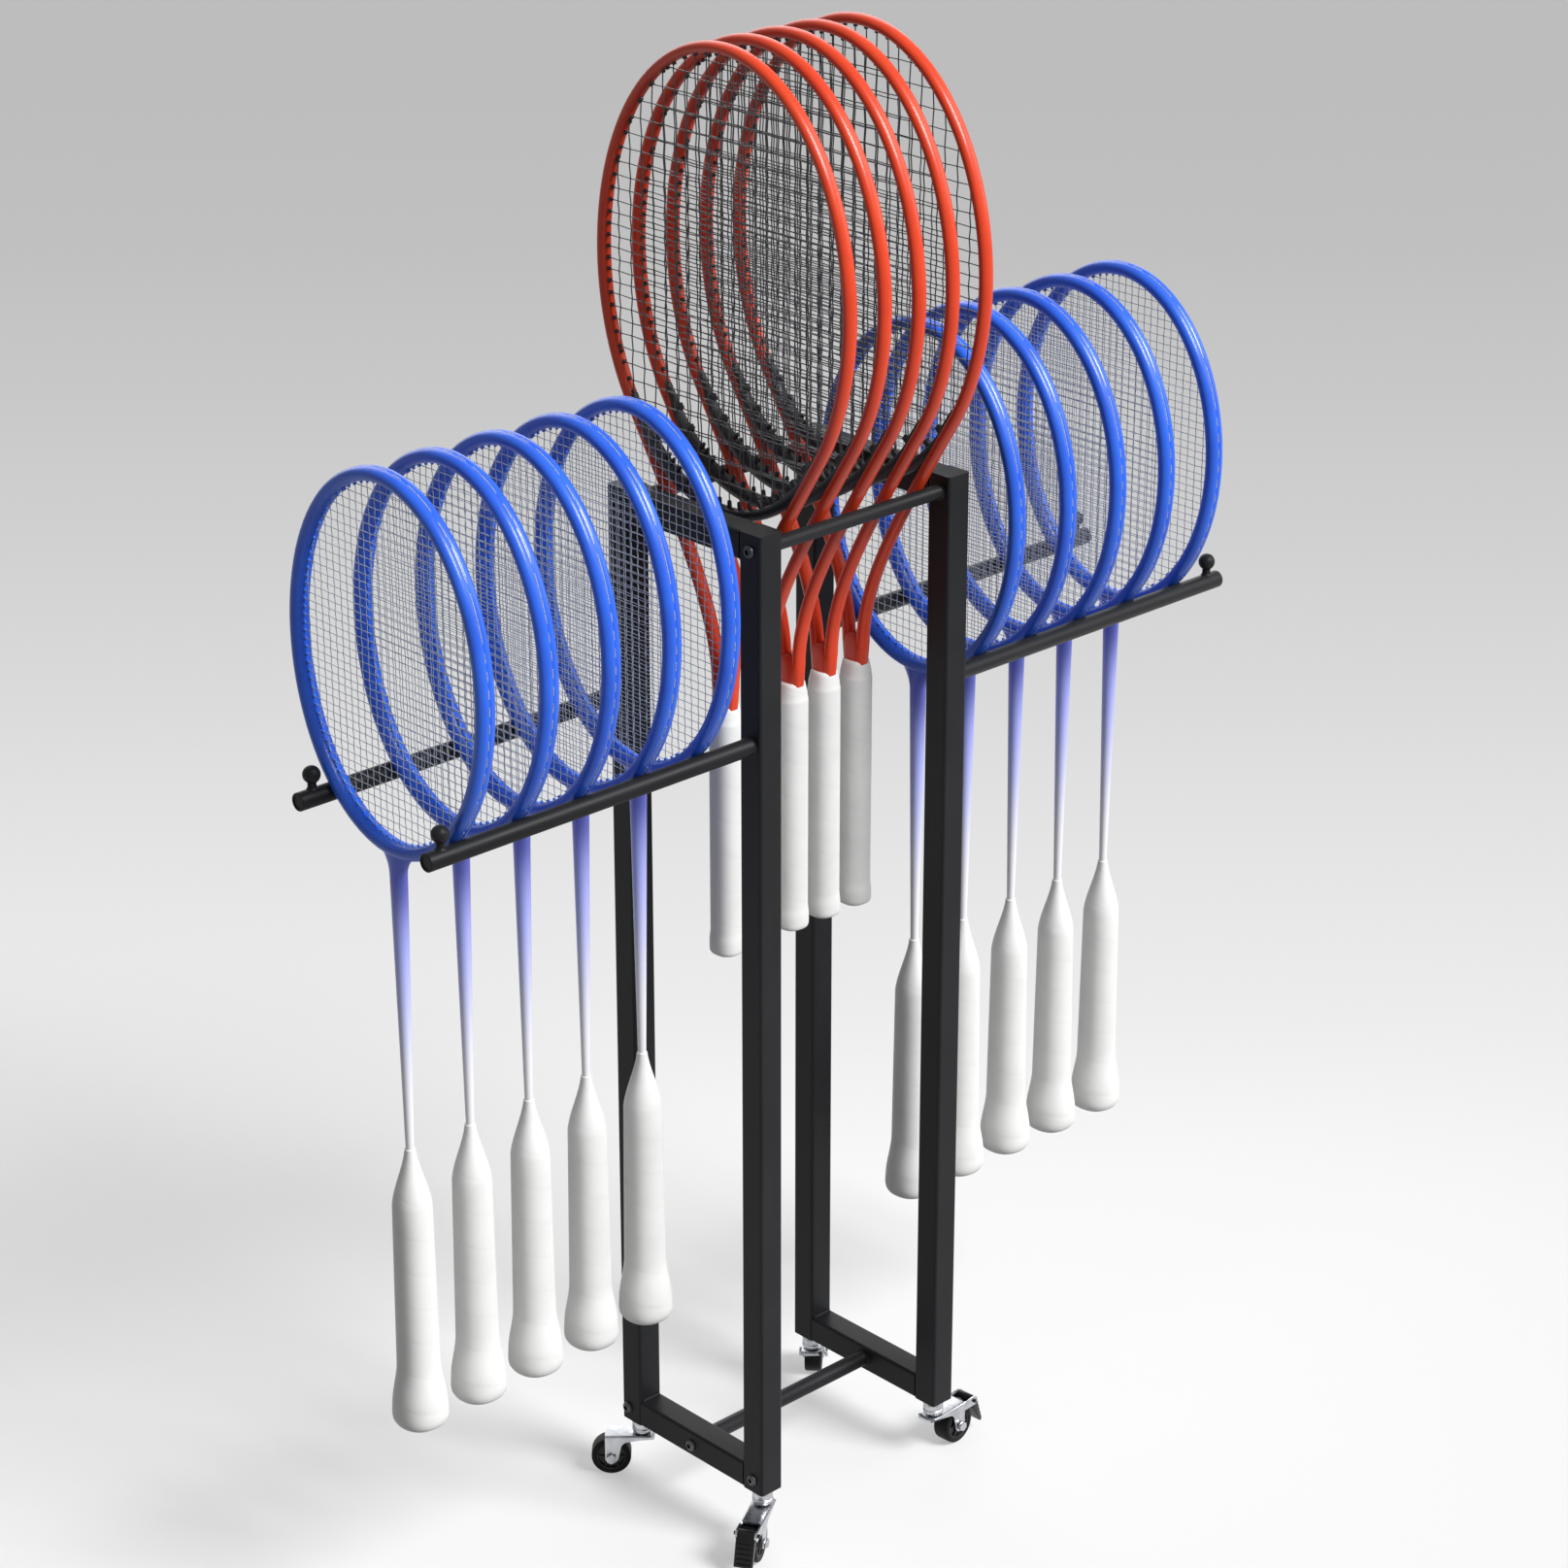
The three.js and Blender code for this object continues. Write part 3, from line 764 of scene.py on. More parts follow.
class Shape:
    """A mesh under construction."""

    def __init__(self) -> None:
        """Starts an empty mesh."""
        self.bm = bmesh.new()

    def _ring(self, section: Section, place: Matrix) -> list[bmesh.types.BMEdge]:
        """Adds an open ring of edges.

        Args:
            section: The ring's outline, of unit width.
            place: The ring's place and scale.

        Returns:
            The ring's edges, always in the same order.
        """
        made = bmesh.ops.create_circle(self.bm, cap_ends=False, segments=section.sides, radius=0.5)
        for vert in made["verts"]:
            vert.co *= section.radius(math.atan2(vert.co.y, vert.co.x))
        bmesh.ops.transform(self.bm, matrix=place, verts=made["verts"])
        return list(dict.fromkeys(edge for vert in made["verts"] for edge in vert.link_edges))

    def sweep(self, stations: Sequence[Matrix], section: Section, closed: bool = False) -> None:
        """Sweeps a section through stations.

        Args:
            stations: The place and scale of the section at each station. Their
                z axes point along the sweep.
            section: The section.
            closed: Whether the last station joins the first.
        """
        edges = self._ring(section, stations[0])
        ends = [edges]
        for before, after in zip(stations, stations[1:]):
            made = bmesh.ops.extrude_edge_only(self.bm, edges=edges)["geom"]
            edges = [e for e in made if isinstance(e, bmesh.types.BMEdge) and e.is_boundary]
            step = after @ before.inverted()
            bmesh.ops.transform(self.bm, matrix=step, verts=new_verts(made))
        ends.append(edges)
        if closed:
            bmesh.ops.bridge_loops(self.bm, edges=ends[0] + ends[1])
        else:
            for loop in ends:
                bmesh.ops.contextual_create(self.bm, geom=loop)

    def spin(
        self,
        profile: Sequence[Pair],
        place: Matrix,
        steps: int,
        closed: bool = False,
    ) -> None:
        """Turns a profile about the z axis.

        Args:
            profile: Radius and height of each point.
            place: Where the turned piece goes.
            steps: The steps of the full turn.
            closed: Whether the profile's last point joins its first.
        """
        verts = [self.bm.verts.new((radius, 0.0, height)) for radius, height in profile]
        pairs = list(zip(verts, verts[1:]))
        if closed:
            pairs.append((verts[-1], verts[0]))
        edges = [self.bm.edges.new(pair) for pair in pairs]
        before = set(self.bm.verts)
        bmesh.ops.spin(
            self.bm,
            geom=verts + edges,
            cent=(0, 0, 0),
            axis=(0, 0, 1),
            angle=FULL_TURN,
            steps=steps,
            use_merge=True,
        )
        made = verts + [v for v in self.bm.verts if v not in before]
        bmesh.ops.transform(self.bm, matrix=place, verts=made)

    def plate(
        self,
        outline: Sequence[Pair],
        thickness: float,
        place: Matrix,
        rounds: dict[int, float],
        edge: float,
    ) -> None:
        """Extrudes an outline in the x-y plane upwards.

        Args:
            outline: The corners, anticlockwise.
            thickness: The height of the plate.
            place: Where the plate goes.
            rounds: The radius of each rounded corner, by its number.
            edge: The width of the bevel on the plate's rims.
        """
        shape = bmesh.new()
        corners = [shape.verts.new((x, y, 0.0)) for x, y in outline]
        shape.faces.new(corners)
        for number, radius in rounds.items():
            round_corners(shape, [corners[number]], radius)
        made = bmesh.ops.extrude_face_region(shape, geom=list(shape.faces))["geom"]
        bmesh.ops.translate(shape, vec=(0, 0, thickness), verts=new_verts(made))
        rims = [
            e for e in shape.edges if abs(e.verts[0].co.z - e.verts[1].co.z) < thickness / 2
        ]
        bevel(shape, rims, edge)
        self.add(shape, place)

    def prism(self, across: float, height: float, sides: int, place: Matrix, edge: float) -> None:
        """Adds a bevelled prism, such as a bolt's head.

        Args:
            across: The size over two corners.
            height: The height along z.
            sides: How many sides.
            place: Where its foot goes.
            edge: The width of the bevel.
        """
        shape = bmesh.new()
        bmesh.ops.create_cone(
            shape,
            cap_ends=True,
            segments=sides,
            radius1=across / 2,
            radius2=across / 2,
            depth=height,
            matrix=shift(0, 0, height / 2),
        )
        bevel(shape, list(shape.edges), edge)
        self.add(shape, place)

    def block(self, place: Matrix, edge: float = 0.0) -> None:
        """Adds a block, from a cube of unit size.

        Args:
            place: The block's place and size.
            edge: The width of its bevel, as a share of its sides.
        """
        cube = bmesh.new()
        bmesh.ops.create_cube(cube, size=1.0)
        if edge:
            bevel(cube, list(cube.edges), edge)
        self.add(cube, place)

    def ball(self, diameter: float, place: Matrix) -> None:
        """Adds a ball.

        Args:
            diameter: The ball's diameter.
            place: Where its middle goes.
        """
        around, down = BALL_STEPS
        bmesh.ops.create_uvsphere(
            self.bm, u_segments=around, v_segments=down, radius=diameter / 2, matrix=place
        )

    def add(self, other: bmesh.types.BMesh, place: Matrix) -> None:
        """Takes over another mesh and frees it.

        Args:
            other: The mesh.
            place: Where it goes.
        """
        mesh = bpy.data.meshes.new("taken_over")
        bmesh.ops.transform(other, matrix=place, verts=list(other.verts))
        other.to_mesh(mesh)
        other.free()
        self.bm.from_mesh(mesh)
        bpy.data.meshes.remove(mesh)

    def mesh(
        self,
        name: str,
        finish: bpy.types.Material,
        unwrap: Optional[Callable[[bmesh.types.BMesh], None]] = None,
    ) -> bpy.types.Mesh:
        """Closes the work and returns the mesh.

        Args:
            name: The mesh's name.
            finish: Its material.
            unwrap: Adds a UV map where the material needs one.

        Returns:
            The mesh, smooth with sharp edges.
        """
        bmesh.ops.remove_doubles(self.bm, verts=list(self.bm.verts), dist=MERGE_DISTANCE)
        bmesh.ops.recalc_face_normals(self.bm, faces=list(self.bm.faces))
        if unwrap:
            unwrap(self.bm)
        mesh = bpy.data.meshes.new(name)
        self.bm.to_mesh(mesh)
        self.bm.free()
        mesh.polygons.foreach_set("use_smooth", [True] * len(mesh.polygons))
        mesh.set_sharp_from_angle(angle=SHARP_ANGLE)
        mesh.materials.append(finish)
        return mesh


class Workshop:
    """Turns meshes into pieces that ride on the model's bodies."""

    def __init__(self, nodes: dict[str, bpy.types.Object]) -> None:
        """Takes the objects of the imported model's nodes, by name."""
        self.nodes = nodes
        self.count = 0

    def piece(
        self,
        name: str,
        mesh: bpy.types.Mesh,
        body: str,
        slot: str,
        replaces: Iterable[str] = (),
        at: Optional[Matrix] = None,
    ) -> None:
        """Places a copy of a mesh as a piece of its own.

        Args:
            name: The piece's name.
            mesh: The mesh to copy.
            body: The body that it rides on.
            slot: The name of a material slot; not used.
            replaces: The nodes that it stands for.
            at: Where it goes.
        """
        own = mesh.copy()
        own.name = name
        if at is not None:
            own.transform(at)
        piece = bpy.data.objects.new(name, own)
        bpy.context.scene.collection.objects.link(piece)
        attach(piece, body)
        if replaces:
            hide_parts(*replaces)
        self.count += 1
        log.info("piece %s rides on %s", name, body)

    def coat(self, node: str, finish: bpy.types.Material) -> None:
        """Gives a node of the model its finish.

        Args:
            node: The node's name.
            finish: The material.
        """
        for slot in self.nodes[node].material_slots:
            slot.material = finish
        log.info("node %s gets %s", node, finish.name)


# ----------------------------------------------------------------------------- rackets


@dataclass(frozen=True)
class Strings:
    """A woven string bed in the y-z plane."""

    thickness: float
    mains: int
    crosses: int
    main_pitch: float
    main_spread: float
    cross_pitch: float
    cross_spread: float
    anchor: float
    grommet: float
    grommet_length: float
    sides: int = 5
    grommet_sides: int = 8
    run_steps: int = 4

    @property
    def main_places(self) -> list[float]:
        """The places of the upright strings across the bed."""
        return self.rows(self.mains, self.main_pitch, self.main_spread)

    @property
    def cross_places(self) -> list[float]:
        """The heights of the level strings."""
        return self.rows(self.crosses, self.cross_pitch, self.cross_spread)

    def rows(self, count: int, pitch: float, spread: float) -> list[float]:
        """Returns the places of parallel strings, wider apart outwards by the spread."""
        steps = [i - (count - 1) / 2 for i in range(count)]
        return [pitch * step + spread * step**3 for step in steps]

    def reach(self, place: float, across: float, along: float) -> float:
        """Returns half of a string's length, from half of the opening across and along it."""
        return along * math.sqrt(max(1 - (place / across) ** 2, 0.0))

    def lay(self, number: int, others: Sequence[float], end: float, lift: float) -> list[Pair]:
        """Lays one string over and under those that it crosses.

        Args:
            number: The string's number, which tells what it starts with.
            others: The places of the crossing strings along it.
            end: Half of its length up to the rim.
            lift: How far it swings to either side.

        Returns:
            Its side swing and its place along the bed at each station.
        """
        crossings = [
            (lift * (-1) ** (number + i), place)
            for i, place in enumerate(others)
            if abs(place) < end - self.thickness
        ]
        return [(0.0, -end - self.anchor), *crossings, (0.0, end + self.anchor)]

    def weave(self, width: float, height: float) -> Shape:
        """Weaves the bed.

        Args:
            width: The opening of the head across.
            height: The opening of the head up and down.

        Returns:
            The strings.
        """
        shape = Shape()
        section = Section(self.sides)
        lift = self.thickness / 2
        thick = sized(self.thickness, self.thickness)
        level = Axis.ALONG_Y.turn()
        for i, y in enumerate(self.main_places):
            end = self.reach(y, width / 2, height / 2)
            rows = self.lay(i, self.cross_places, end, lift)
            shape.sweep([shift(x, y, z) @ thick for x, z in rows], section)
        for i, z in enumerate(self.cross_places):
            end = self.reach(z, height / 2, width / 2)
            rows = self.lay(i, self.main_places, end, -lift)
            shape.sweep([shift(x, y, z) @ level @ thick for x, y in rows], section)
        return shape

    def grommets(
        self, width: float, height: float, keep: Callable[[float, float], bool], length: float
    ) -> Shape:
        """Makes the grommets that the strings pass through.

        Args:
            width: The opening of the head across.
            height: The opening of the head up and down.
            keep: Tells whether a grommet is wanted at a place (y, z).
            length: How far a grommet stands out of the rim.

        Returns:
            The grommets.
        """
        shape = Shape()
        radius = self.grommet / 2
        profile = [
            (0.0, length),
            (radius * 0.45, length),
            (radius * 0.85, length * 0.92),
            (radius, length * 0.55),
            (radius, -self.grommet_length + radius * 0.3),
            (radius * 0.7, -self.grommet_length),
            (0.0, -self.grommet_length),
        ]
        places = []
        for y in self.main_places:
            end = self.reach(y, width / 2, height / 2)
            places += [(y, end), (y, -end)]
        for z in self.cross_places:
            end = self.reach(z, height / 2, width / 2)
            places += [(end, z), (-end, z)]
        for y, z in places:
            if keep(y, z):
                outward = Vector((y / width**2, z / height**2))
                turn = Matrix.Rotation(math.atan2(outward.x, -outward.y), 4, "X")
                shape.spin(profile, shift(0, y, z) @ turn, self.grommet_sides)
        return shape

    def runs(self, width: float, height: float, offset: float, thickness: float) -> Shape:
        """Lays the short runs of string that join neighbours outside the hoop.

        Args:
            width: The opening of the head across.
            height: The opening of the head up and down.
            offset: How far outside the opening the runs lie.
            thickness: How thick they are.

        Returns:
            The runs.
        """
        across, up = width / 2, height / 2
        turns = [math.asin(y / across) for y in self.main_places]
        rises = [math.acos(z / up) for z in self.cross_places]
        sides = [
            turns,
            [math.pi - turn for turn in turns[1:-1]],
            rises,
            [-rise for rise in rises[1:]],
        ]
        shape = Shape()
        back = Matrix.Rotation(math.pi, 4, "X")
        for side in sides:
            for start, stop in zip(side[::2], side[1::2]):
                stations = []
                for i in range(self.run_steps + 1):
                    angle = start + (stop - start) * i / self.run_steps
                    out = Vector((math.sin(angle) / across, math.cos(angle) / up)).normalized()
                    point = Vector((across * math.sin(angle), up * math.cos(angle))) + out * offset
                    station = rim_station(point, out, thickness, thickness)
                    stations.append(station if stop > start else station @ back)
                shape.sweep(stations, Section(self.sides))
        return shape


def rim_station(point: Vector, outward: Vector, width: float, depth: float) -> Matrix:
    """Returns a station of a rim that lies in the y-z plane.

    Args:
        point: The point (y, z) on the rim's middle line.
        outward: The direction (y, z) away from the head's middle.
        width: The rim's width in the plane.
        depth: The rim's depth along x.

    Returns:
        The station's place and scale.
    """
    out = Vector((0.0, outward[0], outward[1])).normalized()
    across = Vector((1.0, 0.0, 0.0))
    along = out.cross(across)
    turn = Matrix((out, across, along)).transposed().to_4x4()
    place = shift(0.0, point[0], point[1])
    return place @ turn @ sized(width, depth)


def wrap_map(bm: bmesh.types.BMesh) -> None:
    """Adds a UV map round the z axis: turns around, and metres along.

    Args:
        bm: The mesh of a handle on the z axis.
    """
    layer = bm.loops.layers.uv.new("wrap")
    for face in bm.faces:
        middle = face.calc_center_median()
        home = math.atan2(middle.y, middle.x)
        for loop in face.loops:
            co = loop.vert.co
            near = math.atan2(co.y, co.x) - home
            angle = home + math.remainder(near, FULL_TURN)
            loop[layer].uv = (angle / FULL_TURN, co.z)


@dataclass(frozen=True)
class Handle:
    """A wrapped handle: rounded octagonal sections up the z axis."""

    sections: tuple[Pair, ...]
    squareness: float
    steps: int = 40

    def build(self) -> Shape:
        """Sweeps the sections, which are heights and widths from the butt up.

        Returns:
            The handle.
        """
        shape = Shape()
        stations = [shift(0, 0, z) @ sized(w, w) for z, w in self.sections]
        shape.sweep(stations, Section(self.steps))
        for vert in shape.bm.verts:
            angle = math.atan2(vert.co.y, vert.co.x)
            flat = math.cos(4 * angle)
            factor = 1 - self.squareness * (0.5 + 0.5 * flat)
            vert.co.x *= factor
            vert.co.y *= factor
        return shape


@dataclass
class Racket:
    """What both kinds of racket share. The middle of the head is the origin."""

    finishes: "Finishes"
    length: float
    head_height: float
    head_width: float
    rim_width: float
    rim_depth: float

    @property
    def foot(self) -> float:
        """The height of the butt's end."""
        return self.head_height / 2 - self.length

    @property
    def axes(self) -> Pair:
        """Half of the width and of the height of the rim's middle line."""
        return (self.head_width - self.rim_width) / 2, (self.head_height - self.rim_width) / 2

    @property
    def opening(self) -> Pair:
        """The width and height of the head's opening."""
        return self.head_width - 2 * self.rim_width, self.head_height - 2 * self.rim_width


@dataclass
class Badminton(Racket):
    """A badminton racket."""

    length: float = 0.676
    head_height: float = 0.258
    head_width: float = 0.194
    rim_width: float = 0.0095
    rim_depth: float = 0.0135
    joint_spread: float = 0.036
    joint_height: float = 0.017
    shaft_top: float = 0.0115
    shaft_bottom: float = 0.0056
    handle_length: float = 0.208
    cone_length: float = 0.037
    grip_top: float = 0.027
    grip_bottom: float = 0.0296
    butt: float = 0.0384
    butt_height: float = 0.014
    flare_height: float = 0.036
    flare_fade: float = 0.012
    shoulder_round: float = 0.004
    tip_wall: float = 0.0016
    flats: float = 0.045
    run_depth: float = 0.0006
    run_thickness: float = 0.0009
    grommet_stand: float = 0.0016
    joint_curve: float = 2.2
    rim_steps: int = 96
    shaft_steps: int = 10
    flare_steps: int = 10
    grip_steps: int = 8
    cone_steps: int = 14
    rim_section: Section = Section(28, 2.4, 0.15)
    shaft_section: Section = Section(20, 2.1)
    strings: Strings = Strings(
        thickness=0.00056,
        mains=26,
        crosses=41,
        main_pitch=0.0062,
        main_spread=0.0000020,
        cross_pitch=0.0054,
        cross_spread=0.0000006,
        anchor=0.003,
        grommet=0.0020,
        grommet_length=0.0088,
    )

    @property
    def handle_top(self) -> float:
        """The height of the cone's tip."""
        return self.foot + self.handle_length

    def frame(self) -> Shape:
        """Sweeps the hoop, the T-joint and the shaft.

        Returns:
            The frame.
        """
        shape = Shape()
        across, up = self.axes
        stations = []
        for i in range(self.rim_steps):
            angle = FULL_TURN * i / self.rim_steps
            point = Vector((across * math.sin(angle), -up * math.cos(angle)))
            outward = Vector((math.sin(angle) / across, -math.cos(angle) / up))
            stations.append(rim_station(point, outward, self.rim_width, self.rim_depth))
        shape.sweep(stations, self.rim_section, closed=True)
        shape.sweep(self.shaft_stations(), self.shaft_section)
        return shape

    def shaft_stations(self) -> list[Matrix]:
        """Lays out the shaft, from inside the cone to the hoop.

        Returns:
            Its stations.
        """
        bottom = -self.head_height / 2
        joint = bottom - self.joint_height
        levels = [
            (self.handle_top - self.cone_length / 2, self.shaft_bottom, self.shaft_bottom),
            (self.handle_top, self.shaft_bottom, self.shaft_bottom),
        ]
        shares = [i / self.shaft_steps for i in range(1, self.shaft_steps + 1)]
        for share in shares:
            size = self.shaft_bottom + (self.shaft_top - self.shaft_bottom) * share
            levels.append((self.handle_top + (joint - self.handle_top) * share, size, size))
        top = bottom + self.rim_width * 0.45
        for share in shares:
            widening = share**self.joint_curve
            spread = self.shaft_top + (self.joint_spread - self.shaft_top) * widening
            depth = self.shaft_top + (self.rim_width - self.shaft_top) * share
            levels.append((joint + (top - joint) * share, depth, spread))
        return [shift(0, 0, z) @ sized(x, y) for z, x, y in levels]

    def handle(self) -> Shape:
        """Makes the cone, the grip and the flared butt.

        Returns:
            The handle.
        """
        foot = self.foot
        rows = [
            (foot, self.butt * 0.62),
            (foot + 0.0006, self.butt * 0.76),
            (foot + 0.0020, self.butt * 0.89),
            (foot + 0.0045, self.butt * 0.97),
            (foot + 0.0080, self.butt),
            (foot + self.butt_height * 0.85, self.butt * 0.995),
        ]
        start = foot + self.butt_height
        flare_end = foot + self.flare_height + self.flare_fade
        wide = self.butt * 0.985
        for i in range(self.flare_steps + 1):
            share = i / self.flare_steps
            width = wide + (self.grip_bottom - wide) * ease(share)
            rows.append((start + (flare_end - start) * share, width))
        begin = rows[-1][0]
        shoulder = self.handle_top - self.cone_length - self.shoulder_round
        for i in range(1, self.grip_steps + 1):
            share = i / self.grip_steps
            width = self.grip_bottom + (self.grip_top - self.grip_bottom) * share
            rows.append((begin + (shoulder - begin) * share, width))
        tip = self.shaft_bottom + self.tip_wall
        for i in range(1, self.cone_steps + 1):
            share = i / self.cone_steps
            height = shoulder + (self.cone_length + self.shoulder_round) * share
            curve = 1 - ease(share) * 0.55 - share * 0.45
            rows.append((height, tip + (self.grip_top - tip) * curve))
        rows.append((self.handle_top + 0.0004, self.shaft_bottom * 0.9))
        return Handle(tuple(rows), self.flats).build()

    def meshes(self) -> dict[str, bpy.types.Mesh]:
        """Makes the racket's meshes.

        Returns:
            The meshes by the word that ends their names.
        """
        width, height = self.opening
        joint = -self.head_height / 2 + self.rim_width * 1.6

        def keep(y: float, z: float) -> bool:
            """Returns whether a grommet stays clear of the T-joint's foot."""
            return z > joint or abs(y) > self.shaft_top / 4

        bed = self.strings.weave(width, height)
        runs = self.strings.runs(width, height, self.rim_width - self.run_depth, self.run_thickness)
        bed.add(runs.bm, Matrix.Identity(4))
        return {
            "frame": self.frame().mesh("badminton_frame", self.finishes.blue),
            "strings": bed.mesh("badminton_strings", self.finishes.pale_string),
            "grommets": self.strings.grommets(width, height, keep, self.grommet_stand).mesh(
                "badminton_grommets", self.finishes.pale_grommet
            ),
            "handle": self.handle().mesh("badminton_handle", self.finishes.grip, wrap_map),
        }


@dataclass
class Tennis(Racket):
    """A junior tennis racket."""

    length: float = 0.635
    head_height: float = 0.317
    head_width: float = 0.242
    rim_width: float = 0.0075
    rim_depth: float = 0.0105
    grip_length: float = 0.185
    grip_width: float = 0.023
    collar: float = 0.019
    collar_height: float = 0.012
    butt: float = 0.0244
    butt_height: float = 0.009
    block_height: float = 0.0195
    block_width: float = 0.021
    block_swell: float = 0.0006
    leave_angle: float = math.radians(130)
    throat_reach: float = 0.092
    throat_settle: float = 0.048
    bridge_width: float = 0.008
    bridge_depth: float = 0.009
    strip_angle: float = math.radians(128)
    strip_lead: float = math.radians(6)
    strip_fade: float = 1.6
    strip_narrowing: float = 0.62
    strip_thinning: float = 0.42
    strip_overlap: float = 0.0012
    flats: float = 0.055
    hoop_grommet_stand: float = 0.0018
    bridge_grommet_stand: float = 0.0055
    hoop_steps: int = 84
    throat_steps: int = 18
    strip_steps: int = 44
    butt_steps: int = 6
    grip_steps: int = 8
    rim_section: Section = Section(20, 2.2)
    block_section: Section = Section(24, 3.6)
    bridge_section: Section = Section(16, 3.0)
    strings: Strings = Strings(
        thickness=0.00090,
        mains=20,
        crosses=28,
        main_pitch=0.0100,
        main_spread=0.0000080,
        cross_pitch=0.0078,
        cross_spread=0.0000117,
        anchor=0.003,
        grommet=0.0031,
        grommet_length=0.002,
    )

    @property
    def grip_top(self) -> float:
        """The height of the grip's upper end."""
        return self.foot + self.grip_length

    @property
    def block_top(self) -> float:
        """The height of the solid part of the throat."""
        return self.grip_top + self.block_height

    def rim_point(self, angle: float) -> Vector:
        """Returns the rim's middle (y, z) at an angle from the top of the head."""
        across, up = self.axes
        return Vector((across * math.sin(angle), up * math.cos(angle)))

    def rim_outward(self, angle: float) -> Vector:
        """Returns the outward direction (y, z) at an angle from the top of the head."""
        across, up = self.axes
        return Vector((math.sin(angle) / across, math.cos(angle) / up)).normalized()

    def throat(self, side: int) -> list[Vector]:
        """Returns the middle line of one side of the throat, from the head down.

        Args:
            side: 1 on the +y side and -1 on the other.

        Returns:
            The points (y, z).
        """
        start = self.rim_point(self.leave_angle)
        across, up = self.axes
        leave = self.leave_angle
        slope = Vector((across * math.cos(leave), -up * math.sin(leave))).normalized()
        end = Vector(((self.block_width - self.rim_width) / 2, self.block_top - self.rim_width))
        second = start + slope * self.throat_reach
        third = end + Vector((0.0, self.throat_settle))
        points = []
        for i in range(1, self.throat_steps + 1):
            t = i / self.throat_steps
            s = 1 - t
            point = start * s**3 + second * (3 * s * s * t) + third * (3 * s * t * t) + end * t**3
            points.append(Vector((point.x * side, point.y)))
        return points

    def path(self) -> list[Vector]:
        """Joins hoop and throat, from one end to the other.

        Returns:
            The points (y, z) of their middle line.
        """
        steps = self.hoop_steps
        hoop = [self.rim_point(self.leave_angle * (1 - 2 * i / steps)) for i in range(steps + 1)]
        return self.throat(1)[::-1] + hoop + self.throat(-1)

    def frame(self) -> Shape:
        """Sweeps the hoop, the throat and the block above the grip.

        Returns:
            The frame.
        """
        shape = Shape()
        path = self.path()
        stations = []
        for i, point in enumerate(path):
            before = path[max(i - 1, 0)]
            after = path[min(i + 1, len(path) - 1)]
            along = (after - before).normalized()
            outward = Vector((along.y, -along.x))
            stations.append(rim_station(point, outward, self.rim_width, self.rim_depth))
        shape.sweep(stations, self.rim_section)
        depth = self.rim_depth + self.block_swell
        top = self.block_top
        rows = [
            (self.grip_top - 0.006, self.block_width - self.rim_width / 2, depth),
            (self.grip_top + 0.006, self.block_width - 0.0012, depth),
            (top - self.rim_width, self.block_width, depth),
            (top - 0.0035, self.block_width - 0.0018, depth - 0.0002),
            (top - 0.0008, self.block_width - 0.0055, depth - 0.0012),
            (top + 0.0006, self.block_width - 0.0110, depth - 0.0040),
        ]
        shape.sweep([shift(0, 0, z) @ sized(x, y) for z, y, x in rows], self.block_section)
        return shape

    def strip(self) -> Shape:
        """Sweeps the black bridge, whose ends run up inside the hoop.

        Returns:
            The bridge.
        """
        shape = Shape()
        span = math.pi - self.strip_angle
        lead = self.leave_angle + self.strip_lead
        stations = []
        for i in range(self.strip_steps + 1):
            angle = self.strip_angle + 2 * span * i / self.strip_steps
            past = lead - min(angle, FULL_TURN - angle)
            thin = ease(past / (lead - self.strip_angle) * self.strip_fade)
            width = self.bridge_width * (1 - self.strip_narrowing * thin)
            inward = (self.rim_width / 2 + width / 2 - self.strip_overlap) * thin
            depth = self.bridge_depth * (1 - self.strip_thinning * thin)
            out = self.rim_outward(angle)
            point = self.rim_point(angle) - out * inward
            stations.append(rim_station(point, out, width, depth))
        shape.sweep(stations, self.bridge_section)
        return shape

    def handle(self) -> Shape:
        """Makes the grip with its collar and its butt.

        Returns:
            The handle.
        """
        foot = self.foot
        swell = self.butt
        rows = [
            (foot, swell * 0.86),
            (foot + 0.0006, swell * 0.94),
            (foot + 0.0020, swell * 0.99),
            (foot + 0.0040, swell),
            (foot + self.butt_height, swell),
        ]
        for i in range(1, self.butt_steps + 1):
            share = i / self.butt_steps
            width = swell + (self.grip_width - swell) * ease(share)
            rows.append((foot + self.butt_height * (1 + share), width))
        begin = rows[-1][0]
        neck = self.grip_top - self.collar_height
        for i in range(1, self.grip_steps + 1):
            height = begin + (neck - 0.002 - begin) * i / self.grip_steps
            rows.append((height, self.grip_width))
        rows += [
            (neck, self.grip_width * 0.985),
            (neck + 0.0008, self.grip_width * 0.955),
            (neck + 0.0040, self.grip_width * 0.94),
            (self.grip_top - 0.0030, self.collar * 1.02),
            (self.grip_top - 0.0008, self.collar * 0.97),
            (self.grip_top, self.collar * 0.88),
        ]
        return Handle(tuple(rows), self.flats).build()

    def meshes(self) -> dict[str, bpy.types.Mesh]:
        """Makes the racket's meshes.

        Returns:
            The meshes by the word that ends their names.
        """
        width, height = self.opening
        strings = self.strings
        low = -math.cos(math.pi - self.leave_angle) * height / 2

        def on_rim(y: float, z: float) -> bool:
            """Returns whether a grommet sits on the hoop."""
            return z >= low

        def on_bridge(y: float, z: float) -> bool:
            """Returns whether a grommet sits on the bridge."""
            return z < low and abs(y) < math.sin(self.leave_angle) * width / 2

